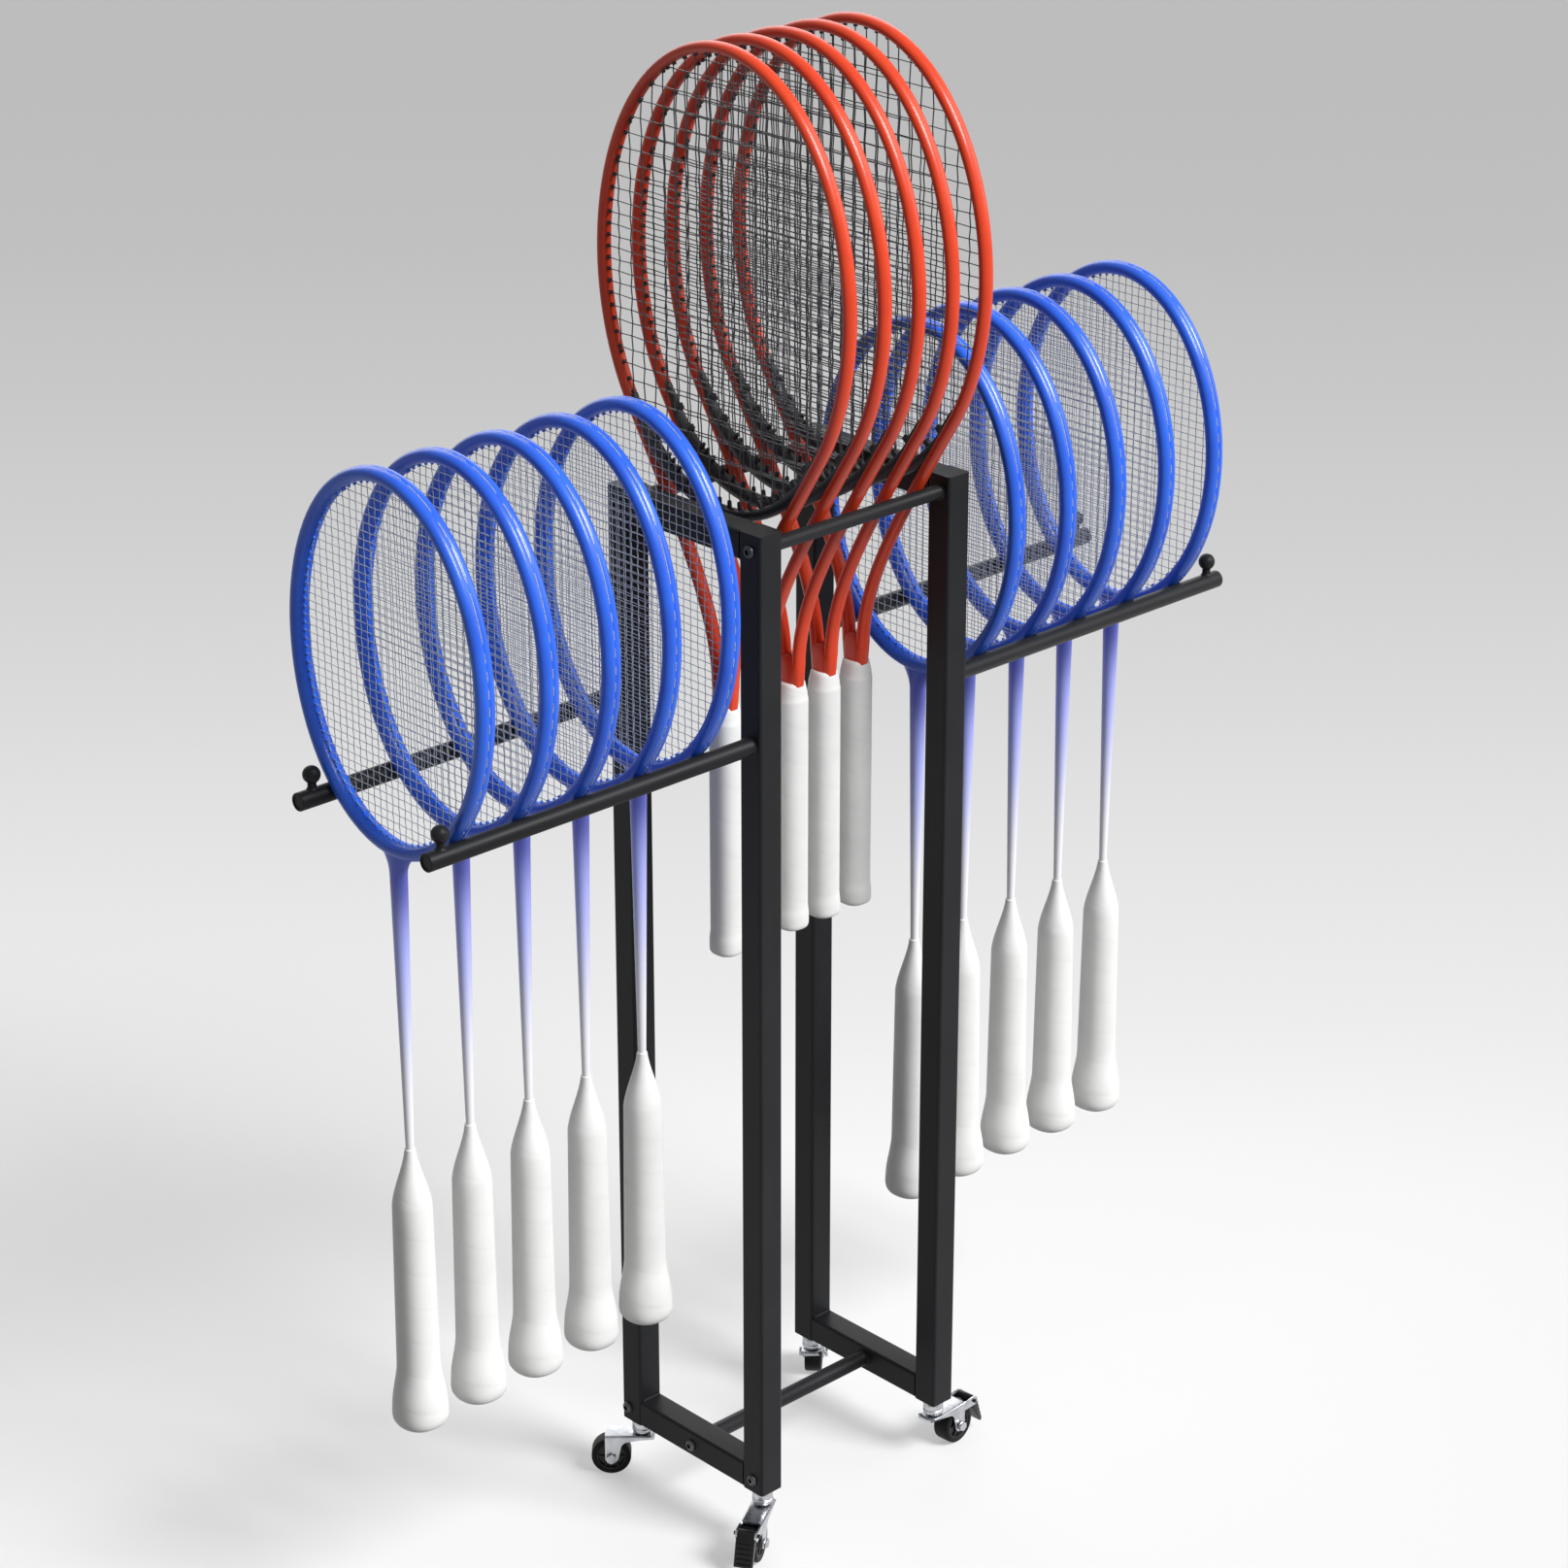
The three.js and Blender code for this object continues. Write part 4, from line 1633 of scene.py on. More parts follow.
        strip = self.strip()
        row = strings.grommets(width, height, on_bridge, self.bridge_grommet_stand)
        strip.add(row.bm, Matrix.Identity(4))
        bed = strings.weave(width, height)
        return {
            "frame": self.frame().mesh("tennis_frame", self.finishes.red),
            "bridge_strip": strip.mesh("tennis_bridge_strip", self.finishes.black_plastic),
            "strings": bed.mesh("tennis_strings", self.finishes.dark_string),
            "grommets": strings.grommets(width, height, on_rim, self.hoop_grommet_stand).mesh(
                "tennis_grommets", self.finishes.black_plastic
            ),
            "handle": self.handle().mesh("tennis_handle", self.finishes.grip, wrap_map),
        }


class Row(Enum):
    """The three rows of rackets, with the first words of their nodes and bodies."""

    LEFT = ("left", "left_badminton")
    RIGHT = ("right", "right_badminton")
    TOP = ("top", "tennis")


@dataclass
class Rackets:
    """All rackets in their rows."""

    workshop: Workshop
    finishes: "Finishes"
    per_row: int = 5

    def build(self) -> None:
        """Places every racket over the nodes that it stands for."""
        badminton = Badminton(self.finishes)
        tennis = Tennis(self.finishes)
        blue, red = badminton.meshes(), tennis.meshes()
        for row in Row:
            label, prefix = row.value
            kind: Racket = tennis if row is Row.TOP else badminton
            meshes = red if row is Row.TOP else blue
            lacquer = "red_lacquer" if row is Row.TOP else "blue_lacquer"
            for number in range(1, self.per_row + 1):
                low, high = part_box(f"{label}_grip_{number}")
                at = shift((low.x + high.x) / 2, (low.y + high.y) / 2, low.z - kind.foot)
                body = f"{prefix}_{number}"
                stands_for = {
                    "frame": [f"{label}_racket_{number}"],
                    "handle": [f"{label}_grip_{number}"],
                }
                for word, mesh in meshes.items():
                    slot = "white_grip" if word == "handle" else lacquer
                    nodes = stands_for.get(word, [])
                    self.workshop.piece(f"{body}_{word}", mesh, body, slot, nodes, at)
            log.info("%s row: %d rackets", label, self.per_row)


# ------------------------------------------------------------------------------- stand


@dataclass
class Stand:
    """The welded stand: its tubes, bars, arms, bolts and weld seams."""

    workshop: Workshop
    finishes: "Finishes"
    frame_span: float = 0.194
    frame_depth: float = 0.150
    frame_top: float = 0.771
    foot: float = 0.046
    tube: float = 0.020
    top_bar: float = 0.010
    top_bar_height: float = 0.759
    crossbar: float = 0.012
    arm: float = 0.0125
    arm_length: float = 0.273
    arm_height: float = 0.623
    cap_rim: float = 0.0015
    cap_depth: float = 0.0008
    ball: float = 0.012
    ball_inset: float = 0.012
    ball_rise: float = 0.016
    neck: float = 0.006
    bolt: float = 0.0088
    bolt_height: float = 0.0026
    back_foot_bolt_shift: float = 0.004
    crossbar_bolt_drop: float = 0.001
    bar_steps: int = 40
    arm_steps: int = 48
    neck_steps: int = 32
    bolt_steps: int = 24
    weld: float = 0.0012
    bead: float = 0.0026
    bead_ripple: float = 0.0003
    bead_wave: float = 2.4
    bead_inset: float = 0.002
    bead_sink: float = 0.0003
    bead_steps: int = 12
    bead_section: Section = Section(10)

    @property
    def post_x(self) -> float:
        """The distance of a post's axis from the middle along x."""
        return (self.frame_span - self.tube) / 2

    @property
    def post_y(self) -> float:
        """The distance of a post's axis from the middle along y."""
        return (self.frame_depth - self.tube) / 2

    def build(self) -> None:
        """Builds and places the stand's pieces."""
        self.coat_tubes()
        self.bars()
        self.arms()
        self.bolts()
        self.welds()
        log.info("stand: tubes, bars, arms, bolts and welds")

    def coat_tubes(self) -> None:
        """Coats the square tubes of the model."""
        for side in SIDES:
            for level in ("top", "bottom"):
                self.workshop.coat(f"{side}_{level}_rail", self.finishes.black)
        for corner in Corner:
            self.workshop.coat(f"{corner.label}_post", self.finishes.black)

    def fillet(self, radius: float, foot: float) -> list[Pair]:
        """Returns the profile of a round piece's foot with its weld fillet.

        Args:
            radius: The piece's radius.
            foot: The height of its foot.

        Returns:
            Radius and height of each point.
        """
        return [
            (0.0, foot),
            (radius + self.weld, foot),
            (radius + self.weld * 0.35, foot + self.weld * 0.4),
            (radius, foot + self.weld * 1.3),
        ]

    def bars(self) -> None:
        """Makes the two top bars and the crossbar at the foot."""
        length = self.frame_span - 2 * self.tube
        bars = {
            "front_top_bar": (self.top_bar, -self.post_y, self.top_bar_height),
            "back_top_bar": (self.top_bar, self.post_y, self.top_bar_height),
            "bottom_crossbar": (self.crossbar, 0.0, self.foot + self.tube / 2),
        }
        for name, (diameter, y, z) in bars.items():
            shape = Shape()
            profile = mirrored(self.fillet(diameter / 2, -length / 2))
            shape.spin(profile, shift(0, y, z) @ Axis.ALONG_X.turn(), self.bar_steps)
            mesh = shape.mesh(name, self.finishes.black)
            self.workshop.piece(f"{name}_tube", mesh, "stand", "powder_coat", [name])

    def arms(self) -> None:
        """Makes the four side arms with their ball stops."""
        radius, tip = self.arm / 2, self.arm_length
        rim = radius - self.cap_rim
        profile = [
            *self.fillet(radius, 0.0),
            (radius, tip - 0.0006),
            (radius - 0.0002, tip - 0.0002),
            (radius - 0.0006, tip),
            (rim + 0.0003, tip),
            (rim, tip - 0.0003),
            (rim, tip - self.cap_depth),
            (0.0, tip - self.cap_depth),
        ]
        neck = self.neck / 2
        foot = radius - 0.0006
        stalk = [
            (0.0, foot),
            (neck + 0.0010, foot),
            (neck + 0.0006, radius + 0.0003),
            (neck, radius + 0.0010),
            (neck, self.ball_rise),
            (0.0, self.ball_rise),
        ]
        for corner in Corner:
            shape = Shape()
            shape.spin(profile, Axis.ALONG_X.turn(), self.arm_steps)
            shape.spin(stalk, shift(tip - self.ball_inset, 0, 0), self.neck_steps)
            shape.ball(self.ball, shift(tip - self.ball_inset, 0, self.ball_rise))
            name = f"{corner.label}_arm"
            mesh = shape.mesh(name, self.finishes.black)
            x, y = corner.side * self.frame_span / 2, corner.end * self.post_y
            at = shift(x, y, self.arm_height) @ facing(corner.side)
            self.workshop.piece(f"{name}_tube", mesh, "stand", "powder_coat", [name], at)

    def bolt_mesh(self) -> bpy.types.Mesh:
        """Makes a button-head bolt with a socket, which points along +X.

        Returns:
            The mesh.
        """
        radius, height = self.bolt / 2, self.bolt_height
        socket = radius * 0.42
        profile = [
            (0.0, height * 0.35),
            (socket, height * 0.35),
            (socket, height * 0.97),
            (socket + 0.0002, height),
            (radius * 0.62, height * 0.93),
            (radius * 0.86, height * 0.70),
            (radius * 0.97, height * 0.42),
            (radius, 0.0004),
            (radius, 0.0),
            (0.0, 0.0),
        ]
        shape = Shape()
        shape.spin(profile, Axis.ALONG_X.turn(), self.bolt_steps)
        return shape.mesh("frame_bolt", self.finishes.bolt)

    def bolts(self) -> None:
        """Puts the bolts on the outer faces of the end frames."""
        bolt = self.bolt_mesh()
        rail = self.foot + self.tube / 2
        places = {
            "front_top_bolt": (-self.post_y, self.top_bar_height),
            "back_top_bolt": (self.post_y, self.top_bar_height),
            "front_foot_bolt": (-self.post_y, rail),
            "back_foot_bolt": (self.post_y + self.back_foot_bolt_shift, rail),
            "crossbar_bolt": (0.0, rail - self.crossbar_bolt_drop),
        }
        for side, sign in SIDES.items():
            for name, (y, z) in places.items():
                at = shift(sign * self.frame_span / 2, y, z) @ facing(sign)
                self.workshop.piece(f"{side}_{name}", bolt, "stand", "zinc_plate", [], at)

    def welds(self) -> None:
        """Lays a dressed weld along each joint of rail and post."""
        inner = self.frame_depth / 2 - self.tube
        levels = (
            ("top", self.frame_top - self.tube, -1),
            ("bottom", self.foot + self.tube, 1),
        )
        for side, sign in SIDES.items():
            for level, z, way in levels:
                shape = Shape()
                for end in (-1, 1):
                    corner = Vector((sign * self.post_x, end * inner, z))
                    shape.sweep(self.bead_stations(corner, end, way), self.bead_section)
                name = f"{side}_{level}_weld"
                mesh = shape.mesh(name, self.finishes.black)
                self.workshop.piece(f"{name}_seams", mesh, "stand", "powder_coat")

    def bead_stations(self, corner: Vector, end: int, way: int) -> list[Matrix]:
        """Returns the stations of a rippled weld bead across a tube.

        Args:
            corner: The middle of the inner corner of rail and post.
            end: -1 at the front post and 1 at the back one.
            way: -1 under the rail and 1 over it.

        Returns:
            The stations along x.
        """
        half = self.tube / 2 - self.bead_inset
        y = corner.y - end * self.bead_sink
        z = corner.z + way * self.bead_sink
        edge_on = Matrix.Rotation(math.pi / 4, 4, "Z")
        stations = []
        for i in range(self.bead_steps + 1):
            size = self.bead + self.bead_ripple * math.sin(i * self.bead_wave)
            place = shift(corner.x - half + 2 * half * i / self.bead_steps, y, z)
            stations.append(place @ Axis.ALONG_X.turn() @ edge_on @ sized(size, size))
        return stations


# ----------------------------------------------------------------------------- casters


@dataclass
class Casters:
    """The four swivel casters, each in its own frame under its post."""

    workshop: Workshop
    finishes: "Finishes"
    post_x: float = 0.087
    post_y: float = 0.065
    top: float = 0.046
    trail: float = 0.023
    axle_height: float = 0.0147118
    wheel_width: float = 0.013
    tread_round: float = 0.0015
    rim: float = 0.022
    hub: float = 0.010
    axle: float = 0.0046
    sheet: float = 0.0016
    side_gap: float = 0.0008
    drop: float = 0.014
    boss: float = 0.009
    leg_back: float = 0.006
    leg: float = 0.0125
    skirt: float = 0.0058
    bend: float = 0.0016
    bend_steps: int = 4
    tail_round: float = 0.0014
    knee_round: float = 0.0034
    boss_round: float = 0.92
    lug_round: float = 0.85
    axle_excess: float = 0.0030
    axle_start: float = 0.0006
    axle_head: float = 0.0078
    axle_head_height: float = 0.0022
    axle_head_sides: int = 6
    axle_head_edge: float = 0.0004
    axle_sides: int = 20
    pin_sides: int = 16
    rod_edge: float = 0.0003
    tyre_steps: int = 64
    hub_steps: int = 48
    stem_steps: int = 36
    spokes: int = 6
    spoke: float = 0.0012
    spoke_gap: float = 0.0010
    spoke_recess: float = 0.0014
    stem: float = 0.007
    cup: float = 0.015
    collar: float = 0.017
    collar_height: float = 0.0025
    rivet_height: float = 0.0018
    pedal_pivot: Pair = (0.038, 0.0296)
    lug: float = 0.004
    pedal_length: float = 0.024
    pedal_thickness: float = 0.0066
    pedal_tip: float = 0.0024
    pedal_shoulder: float = 0.005
    pedal_slope: float = math.radians(60)
    pedal_edge: float = 0.0005
    heel_round: float = 0.95
    tip_round: float = 0.0007
    shoulder_round: float = 0.0018
    pin: float = 0.0030
    pin_excess: float = 0.0008
    ribs: int = 5
    rib_start: float = 0.0018
    rib_pitch: float = 0.0036
    rib_width: float = 0.0018
    rib_height: float = 0.0026
    rib_gap: float = 0.0012
    rib_edge: float = 0.25
    play: float = 0.0003

    @property
    def plate_bottom(self) -> float:
        """The underside of the fork's plate."""
        return self.top - self.drop

    @property
    def gap(self) -> float:
        """The gap between the fork's legs."""
        return self.wheel_width + 2 * self.side_gap

    @property
    def wheel_place(self) -> Matrix:
        """The wheel's middle, with z along its axle."""
        return shift(self.trail, 0, self.axle_height) @ Axis.ALONG_Y.turn()

    def build(self) -> None:
        """Builds and places every caster."""
        meshes = {
            "stem": self.stem_shape().mesh("caster_stem", self.finishes.zinc),
            "fork": self.fork_shape(False).mesh("caster_fork", self.finishes.zinc),
            "braked_fork": self.fork_shape(True).mesh("braked_caster_fork", self.finishes.zinc),
            "axle": self.axle_shape().mesh("caster_axle", self.finishes.zinc),
            "tyre": self.tyre_shape().mesh("caster_tyre", self.finishes.tyre),
            "hub": self.hub_shape().mesh("caster_hub", self.finishes.hub),
            "pedal": self.pedal_shape().mesh("brake_pedal", self.finishes.pedal),
        }
        for corner in Corner:
            label = corner.label
            fork, wheel = f"{label}_fork", f"{label}_wheel"
            sheet = "braked_fork" if corner.braked else "fork"
            parts = [
                ("stem", "stem", "stand", "zinc_plate", ["caster_stem"]),
                ("fork_sheet", sheet, fork, "zinc_plate", ["caster_fork"]),
                ("axle_bolt", "axle", fork, "zinc_plate", []),
                ("tyre", "tyre", wheel, "caster_tread", ["caster_wheel"]),
                ("hub", "hub", wheel, "caster_tread", []),
            ]
            if corner.braked:
                lever = ("pedal_lever", "pedal", f"{label}_pedal", "pedal_plastic", ["brake_pedal"])
                parts.append(lever)
            place = shift(corner.side * self.post_x, corner.end * self.post_y, 0)
            at = place @ Matrix.Rotation(corner.heading, 4, "Z")
            for word, shape, body, slot, nodes in parts:
                stands_for = [f"{label}_{node}" for node in nodes]
                self.workshop.piece(f"{label}_{word}", meshes[shape], body, slot, stands_for, at)
        log.info("casters: four, two of them braked")

    def stem_shape(self) -> Shape:
        """Makes the collar, the swivel housing, the shank and the rivet head.

        Returns:
            The stem.
        """
        shape = Shape()
        head = self.gap / 2 - self.play
        top = self.plate_bottom - self.play
        cup = self.cup / 2
        seat = self.plate_bottom + self.sheet + self.play
        ceiling = self.top - self.collar_height
        radius = self.collar / 2
        profile = [
            (0.0, top - self.rivet_height),
            (head * 0.62, top - self.rivet_height),
            (head * 0.88, top - self.rivet_height * 0.7),
            (head, top - self.rivet_height * 0.2),
            (head, top),
            (self.stem / 2, top),
            (self.stem / 2, seat),
            (cup * 0.80, seat),
            (cup * 0.94, seat + 0.0006),
            (cup, seat + 0.0018),
            (cup, seat + 0.0034),
            (cup * 0.93, seat + 0.0040),
            (cup * 0.93, seat + 0.0046),
            (cup, seat + 0.0052),
            (cup * 0.99, ceiling - 0.0016),
            (cup * 0.92, ceiling - 0.0005),
            (cup * 0.90, ceiling),
            (radius - 0.0010, ceiling),
            (radius - 0.0003, ceiling + 0.0003),
            (radius, ceiling + 0.0010),
            (radius, self.top - 0.0001),
            (0.0, self.top - 0.0001),
        ]
        shape.spin(profile, Axis.UP.turn(), self.stem_steps)
        return shape

    def fork_shape(self, braked: bool) -> Shape:
        """Returns the fork, bent from one sheet.

        Args:
            braked: Whether its legs reach out as lugs for the pedal's pin.

        Returns:
            The fork.
        """
        shape = Shape()
        bm = shape.bm
        middle = self.gap / 2 + self.sheet / 2
        front = self.trail + self.boss / 2
        level = self.plate_bottom + self.sheet / 2
        low = self.axle_height - self.boss / 2
        back = -self.leg_back
        corners = [(back, -middle), (front, -middle), (front, middle), (back, middle)]
        bm.faces.new([bm.verts.new((x, y, level)) for x, y in corners])
        self._legs(bm, middle, low)
        knees = self._knees(bm, middle, level)
        rear = [e for e in bm.edges if all(same(v.co.x, back) for v in e.verts)]
        tail = new_verts(bmesh.ops.extrude_edge_only(bm, edges=rear)["geom"])
        for vert in tail:
            vert.co.x = -middle
            vert.co.y *= 0.5
        if braked:
            self._lugs(bm, front, level)
        bmesh.ops.recalc_face_normals(bm, faces=list(bm.faces))
        round_corners(bm, tail, self.tail_round)
        round_corners(bm, knees, self.knee_round)
        feet = [v for v in bm.verts if same(v.co.z, low)]
        round_corners(bm, feet, self.boss / 2 * self.boss_round)
        margin = 10 * TOLERANCE
        bends = []
        for edge in (e for e in bm.edges if not e.is_boundary):
            ends = [v.co for v in edge.verts]
            if all(same(abs(co.y), middle, margin) and co.z > level - margin for co in ends):
                bends.append(edge)
        bevel(bm, bends, self.bend, segments=self.bend_steps)
        bmesh.ops.recalc_face_normals(bm, faces=list(bm.faces))
        bmesh.ops.solidify(bm, geom=list(bm.faces), thickness=self.sheet)
        return shape

    def _legs(self, bm: bmesh.types.BMesh, middle: float, low: float) -> None:
        """Draws a leg down from each side of the fork's plate.

        Args:
            bm: The sheet.
            middle: How far the legs stand from the caster's middle.
            low: The height of their ends.
        """
        for sign in (-1, 1):
            side = [e for e in bm.edges if all(same(v.co.y, sign * middle) for v in e.verts)]
            for vert in new_verts(bmesh.ops.extrude_edge_only(bm, edges=side)["geom"]):
                vert.co.z = low
                if vert.co.x < 0:
                    vert.co.x = self.trail - self.boss / 2

    def _knees(
        self, bm: bmesh.types.BMesh, middle: float, level: float
    ) -> list[bmesh.types.BMVert]:
        """Bends each leg's rear edge at a knee below the plate's skirt.

        Args:
            bm: The sheet.
            middle: How far the legs stand from the caster's middle.
            level: The height of the sheet's plate.

        Returns:
            The knees.
        """
        rear = (-self.leg_back, self.trail - self.boss / 2)
        knees = []
        for sign in (-1, 1):
            edge = next(
                e
                for e in bm.edges
                if all(v.co.y * sign > 0 for v in e.verts)
                and all(any(same(v.co.x, x) for v in e.verts) for x in rear)
            )
            top = max(edge.verts, key=lambda v: v.co.z)
            _, knee = bmesh.utils.edge_split(edge, top, 0.5)
            reach = self.trail + self.boss / 2 - self.leg
            knee.co = (reach, sign * middle, level - self.skirt)
            knees.append(knee)
        return knees

    def _lugs(self, bm: bmesh.types.BMesh, front: float, level: float) -> None:
        """Draws a rounded lug out of each leg's upper front edge.

        Args:
            bm: The sheet.
            front: Where the legs' front edges lie along x.
            level: The height of the sheet's plate.
        """
        reach, height = self.pedal_pivot
        foot = height - self.lug
        outer = []
        for sign in (-1, 1):
            edge = next(
                e
                for e in bm.edges
                if all(same(v.co.x, front) and v.co.y * sign > 0 for v in e.verts)
                and abs(e.verts[0].co.z - e.verts[1].co.z) > self.lug
            )
            top = max(edge.verts, key=lambda v: v.co.z)
            drop = edge.calc_length()
            _, middle = bmesh.utils.edge_split(edge, top, (level - foot) / drop)
            upper = bm.edges.get((top, middle))
            ends = new_verts(bmesh.ops.extrude_edge_only(bm, edges=[upper])["geom"])
            bmesh.ops.translate(bm, vec=(reach + self.lug - front, 0, 0), verts=ends)
            outer += ends
        round_corners(bm, outer, self.lug * self.lug_round)

    def axle_shape(self) -> Shape:
        """Makes the axle bolt with its hexagon head and its nut.

        Returns:
            The axle.
        """
        shape = Shape()
        outer = self.gap / 2 + self.sheet
        turn = Axis.ALONG_Y.turn()
        base = shift(self.trail, 0, self.axle_height)
        start = base @ shift(0, -outer - self.axle_start, 0) @ turn
        length = 2 * outer + self.axle_excess
        shape.prism(self.axle, length, self.axle_sides, start, self.rod_edge)
        height, sides, edge = self.axle_head_height, self.axle_head_sides, self.axle_head_edge
        for y in (outer, -outer - height):
            shape.prism(self.axle_head, height, sides, base @ shift(0, y, 0) @ turn, edge)
        return shape

    def tyre_shape(self) -> Shape:
        """Makes the tread of the wheel.

        Returns:
            The tyre.
        """
        shape = Shape()
        radius, half, soft = self.axle_height, self.wheel_width / 2, self.tread_round
        inner = self.rim / 2
        profile = [
            (inner - 0.0003, -half * 0.9),
            (inner + 0.0004, -half),
            (radius - soft, -half),
            (radius - soft * 0.42, -half + soft * 0.16),
            (radius - soft * 0.10, -half + soft * 0.55),
            (radius, -half + soft * 1.1),
        ]
        shape.spin(mirrored(profile), self.wheel_place, self.tyre_steps, closed=True)
        return shape

    def hub_shape(self) -> Shape:
        """Makes the wheel's centre with its ribs.

        Returns:
            The hub.
        """
        shape = Shape()
        half, inner = self.wheel_width / 2, self.rim / 2
        bore = self.axle / 2 + self.play
        hub = self.hub / 2
        profile = [
            (bore, -half),
            (hub, -half),
            (hub + 0.0006, -half + 0.0016),
            (inner - 0.0018, -half + 0.0020),
            (inner - 0.0010, -half + 0.0004),
            (inner - 0.0002, -half + 0.0003),
        ]
        shape.spin(mirrored(profile), self.wheel_place, self.hub_steps, closed=True)
        reach = (hub + inner) / 2
        width = self.wheel_width - self.spoke_recess
        size = sized(inner - hub - self.spoke_gap, self.spoke, width)
        for spoke in range(self.spokes):
            turn = Matrix.Rotation(spoke * FULL_TURN / self.spokes, 4, "Z")
            shape.block(self.wheel_place @ turn @ shift(reach, 0, 0) @ size)
        return shape

    def pedal_shape(self) -> Shape:
        """Makes the brake pedal with its grip ribs and its pin.

        Returns:
            The pedal.
        """
        shape = Shape()
        heel = self.pedal_thickness / 2
        outline = [
            (-heel, -heel),
            (self.pedal_length, -heel),
            (self.pedal_length, -heel + self.pedal_tip),
            (self.pedal_shoulder, heel),
            (-heel, heel),
        ]
        width = self.gap - 2 * self.play
        x, z = self.pedal_pivot
        slope = Matrix.Rotation(self.pedal_slope, 4, "Y")
        base = shift(x, 0, z) @ slope
        stand_up = Matrix.Rotation(math.pi / 2, 4, "X")
        side = base @ shift(0, width / 2, 0) @ stand_up
        back = heel * self.heel_round
        rounds = {0: back, 4: back, 1: self.tip_round, 2: self.tip_round, 3: self.shoulder_round}
        shape.plate(outline, width, side, rounds, self.pedal_edge)
        drop = (2 * heel - self.pedal_tip) / (self.pedal_length - self.pedal_shoulder)
        size = sized(self.rib_width, width - self.rib_gap, self.rib_height)
        for i in range(self.ribs):
            along = self.pedal_length - self.rib_start - self.rib_pitch * i
            height = -heel + self.pedal_tip + (self.pedal_length - along) * drop
            shape.block(base @ shift(along, 0, height) @ size, self.rib_edge)
        outer = self.gap / 2 + self.sheet + self.pin_excess
        pin = shift(x, -outer, z) @ Axis.ALONG_Y.turn()
        shape.prism(self.pin, 2 * outer, self.pin_sides, pin, self.rod_edge)
        return shape


# ------------------------------------------------------------------------------ studio


@dataclass(frozen=True)
class Lamp:
    """A soft sun."""

    name: str
    origin: Triple
    strength: float
    size: float

    def hang(self) -> None:
        """Puts the lamp into the scene."""
        data = bpy.data.lights.new(self.name, "SUN")
        data.energy = self.strength
        data.angle = self.size
        lamp = bpy.data.objects.new(self.name, data)
        lamp.rotation_euler = Vector(self.origin).to_track_quat("Z", "Y").to_euler()
        bpy.context.scene.collection.objects.link(lamp)


@dataclass
class Studio:
    """The camera of the photograph, the floor and the light."""

    camera_place: Triple = (-1.76149, -1.85513, 1.63875)
    heading: float = math.radians(43.4429)
    pitch: float = math.radians(23.100)
    roll: float = math.radians(0.0215)
    focal_pixels: float = 4139.0
    image_pixels: int = 1615
    sensor: float = 36.0
    sight: float = 120.0
    floor_reach: float = 40.0
    floor_drop: float = 0.0003
    lamps: tuple[Lamp, ...] = (
        Lamp("key_light", (0.22, -0.78, 0.80), 3.9, math.radians(24)),
        Lamp("side_light", (0.85, -0.45, 0.35), 0.9, math.radians(40)),
        Lamp("back_light", (0.50, 0.85, 0.25), 1.2, math.radians(60)),
    )
    world_level: float = 0.20
    shown_level: float = 0.50

    def build(self) -> None:
        """Sets up the whole studio."""
        self.camera()
        self.floor()
        self.light()
        bpy.context.scene.view_settings.view_transform = "Standard"
        log.info("studio: camera, floor and light")

    def camera(self) -> None:
        """Makes the camera at the photograph's place."""
        data = bpy.data.cameras.new("photo_camera")
        data.sensor_width = self.sensor
        data.sensor_fit = "HORIZONTAL"
        data.lens = self.sensor * self.focal_pixels / self.image_pixels
        data.clip_end = self.sight
        camera = bpy.data.objects.new("photo_camera", data)
        camera.location = self.camera_place
        turn = Euler((math.pi / 2 - self.pitch, 0.0, -self.heading)).to_matrix()
        camera.rotation_euler = (turn @ Matrix.Rotation(self.roll, 3, "Z")).to_euler()
        bpy.context.scene.collection.objects.link(camera)
        bpy.context.scene.camera = camera

    def floor(self) -> None:
        """Lays the seamless floor."""
        bm = bmesh.new()
        level = shift(0, 0, -self.floor_drop)
        bmesh.ops.create_grid(bm, x_segments=2, y_segments=2, size=self.floor_reach, matrix=level)
        mesh = bpy.data.meshes.new("studio_floor")
        bm.to_mesh(mesh)
        bm.free()
        mesh.materials.append(StudioFloor().build())
        floor = bpy.data.objects.new("studio_floor", mesh)
        bpy.context.scene.collection.objects.link(floor)

    def light(self) -> None:
        """Hangs the lamps and sets the even light round them.

        The camera and reflections see the backdrop's grey instead.
        """
        for lamp in self.lamps:
            lamp.hang()
        world = bpy.data.worlds.new("studio_world")
        world.use_nodes = True
        nodes = NodeTree(world.node_tree)
        even, shown = (
            nodes.node("ShaderNodeBackground", inputs={"Color": (1.0, 1.0, 1.0), "Strength": level})
            for level in (self.world_level, self.shown_level)
        )
        blend = nodes.node(
            "ShaderNodeMixShader",
            inputs={0: nodes.looked_at(), 1: even.outputs[0], 2: shown.outputs[0]},
        )
        nodes.node("ShaderNodeOutputWorld", inputs={"Surface": blend.outputs[0]})
        bpy.context.scene.world = world


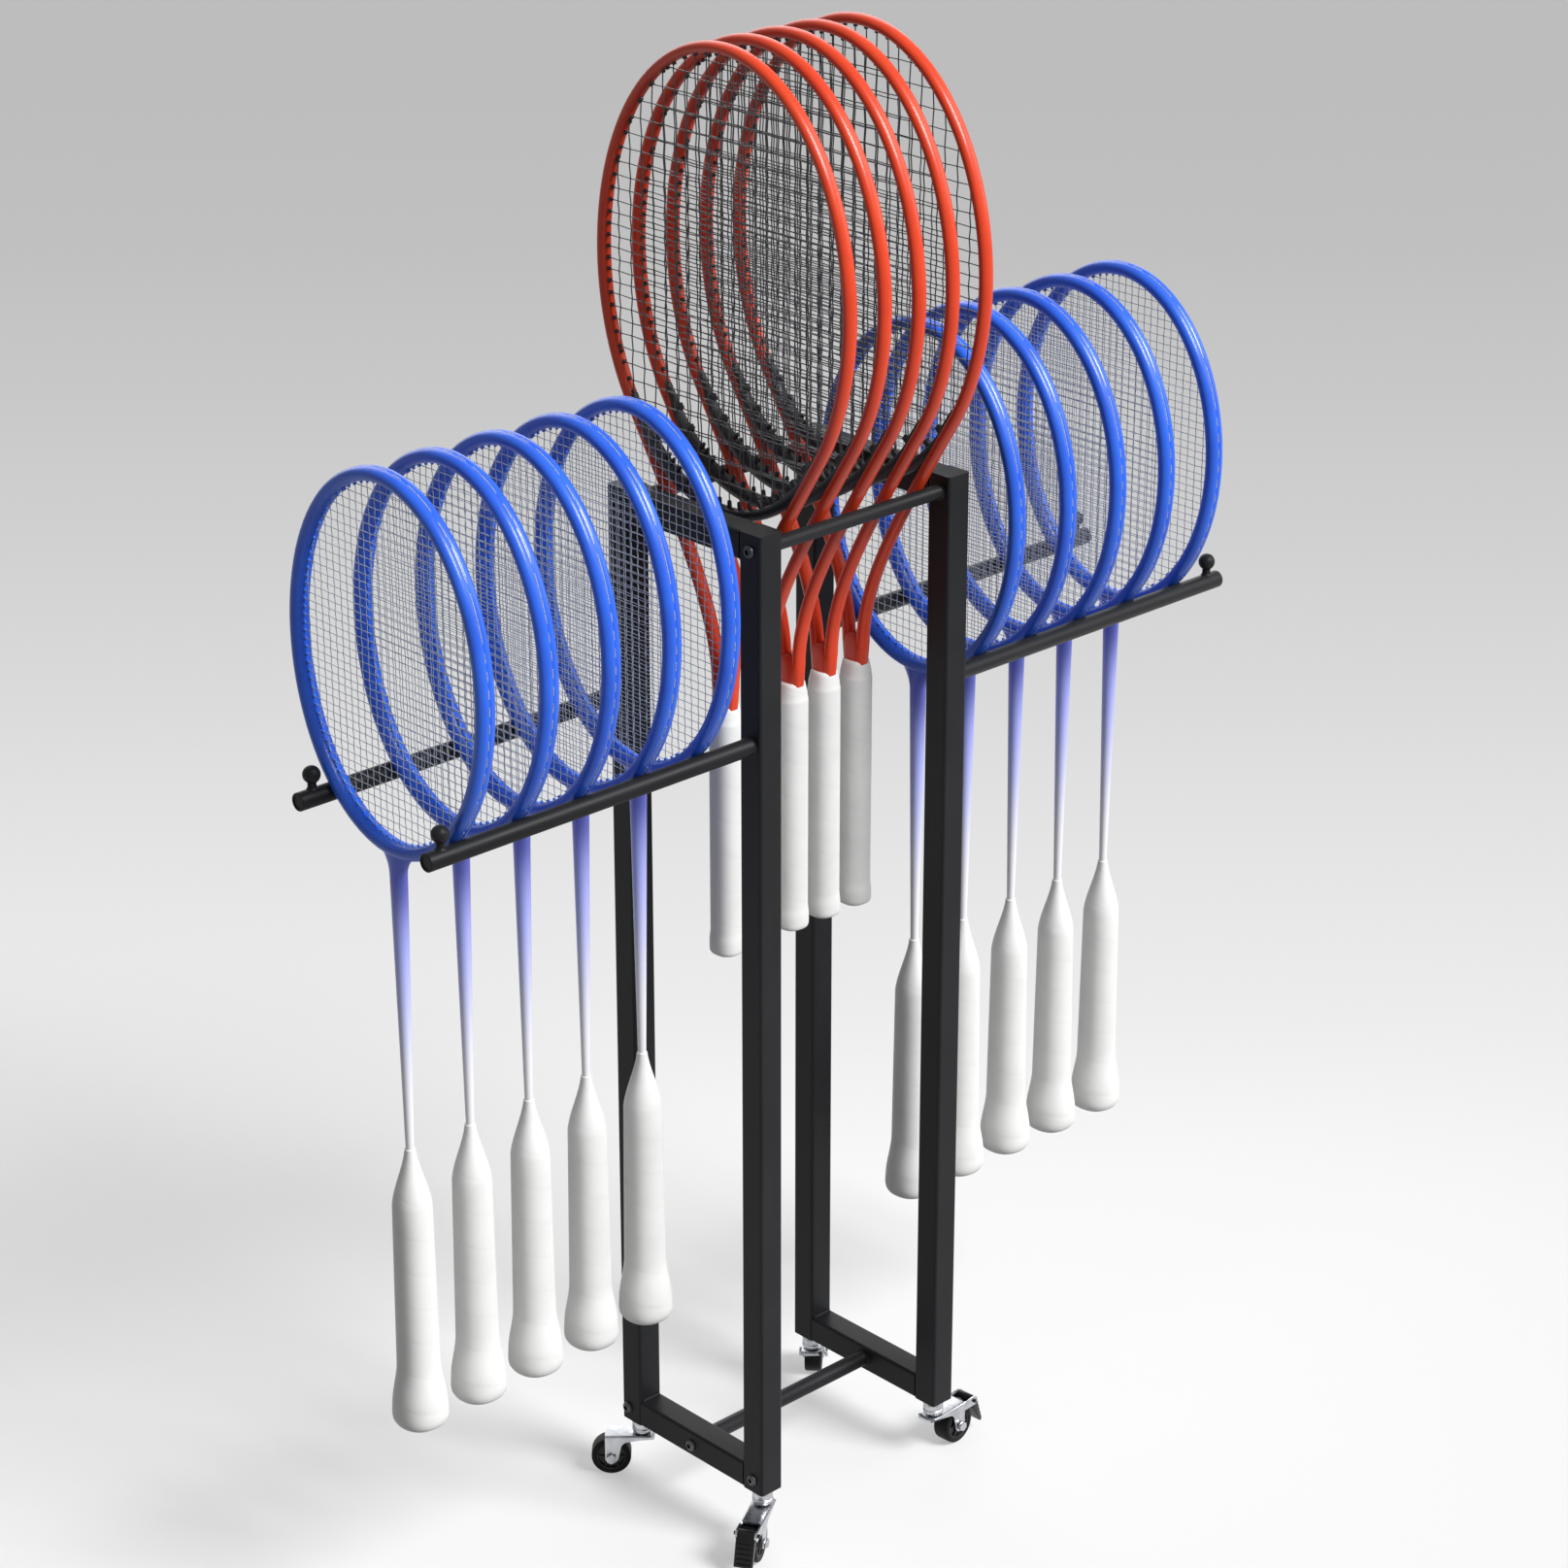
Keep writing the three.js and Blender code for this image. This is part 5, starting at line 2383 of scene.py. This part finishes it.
@dataclass
class Finishes:
    """Every material of the stand and its rackets, built once."""

    joint_height: float
    cone_height: float

    def __post_init__(self) -> None:
        """Builds the materials."""
        self.black = PowderCoat().build()
        self.blue = FadedLacquer(
            "royal_blue_lacquer",
            (0.028, 0.140, 0.790),
            (0.017, 0.082, 0.600),
            head_end=self.joint_height,
            shaft_end=self.cone_height,
        ).build()
        self.red = Lacquer("orange_red_lacquer", (0.73, 0.057, 0.014), (0.62, 0.040, 0.010)).build()
        self.grip = GripWrap().build()
        self.pale_string = StringNylon(
            "pale_string", (0.44, 0.49, 0.58), (0.26, 0.29, 0.37)
        ).build()
        self.dark_string = StringNylon(
            "dark_string", (0.07, 0.075, 0.08), (0.03, 0.033, 0.036)
        ).build()
        self.pale_grommet = Moulded(
            "pale_grommet", (0.10, 0.26, 0.84), (0.24, 0.42, 0.90), 0.35
        ).build()
        self.black_plastic = Moulded(
            "black_grommet", (0.010, 0.010, 0.011), (0.03, 0.03, 0.03), 0.42
        ).build()
        self.zinc = BrightZinc().build()
        self.bolt = BrightZinc(
            "dark_bolt_steel", (0.11, 0.11, 0.115), (0.07, 0.07, 0.075), 0.38
        ).build()
        self.tyre = Moulded(
            "caster_rubber", (0.005, 0.005, 0.0055), (0.012, 0.012, 0.012), 0.45, 0.00002, 0.12
        ).build()
        self.hub = Moulded(
            "caster_hub", (0.010, 0.010, 0.011), (0.03, 0.03, 0.03), 0.28, 0.00003, 0.3
        ).build()
        self.pedal = Moulded(
            "pedal_plastic", (0.005, 0.005, 0.006), (0.012, 0.012, 0.012), 0.26, 0.00002, 0.3
        ).build()


def main() -> None:
    """Builds the scene in order."""
    logging.basicConfig(level=logging.INFO, format="%(name)s: %(message)s")
    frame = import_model()
    Studio().build()
    low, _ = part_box("left_grip_1")
    shapes = Badminton
    joint = low.z + shapes.length - shapes.head_height
    cone = low.z + shapes.handle_length
    finishes = Finishes(joint, cone)
    workshop = Workshop(frame["nodes"])
    Stand(workshop, finishes).build()
    Casters(workshop, finishes).build()
    Rackets(workshop, finishes).build()
    log.info("%d pieces", workshop.count)


if __name__ == "__main__":
    main()
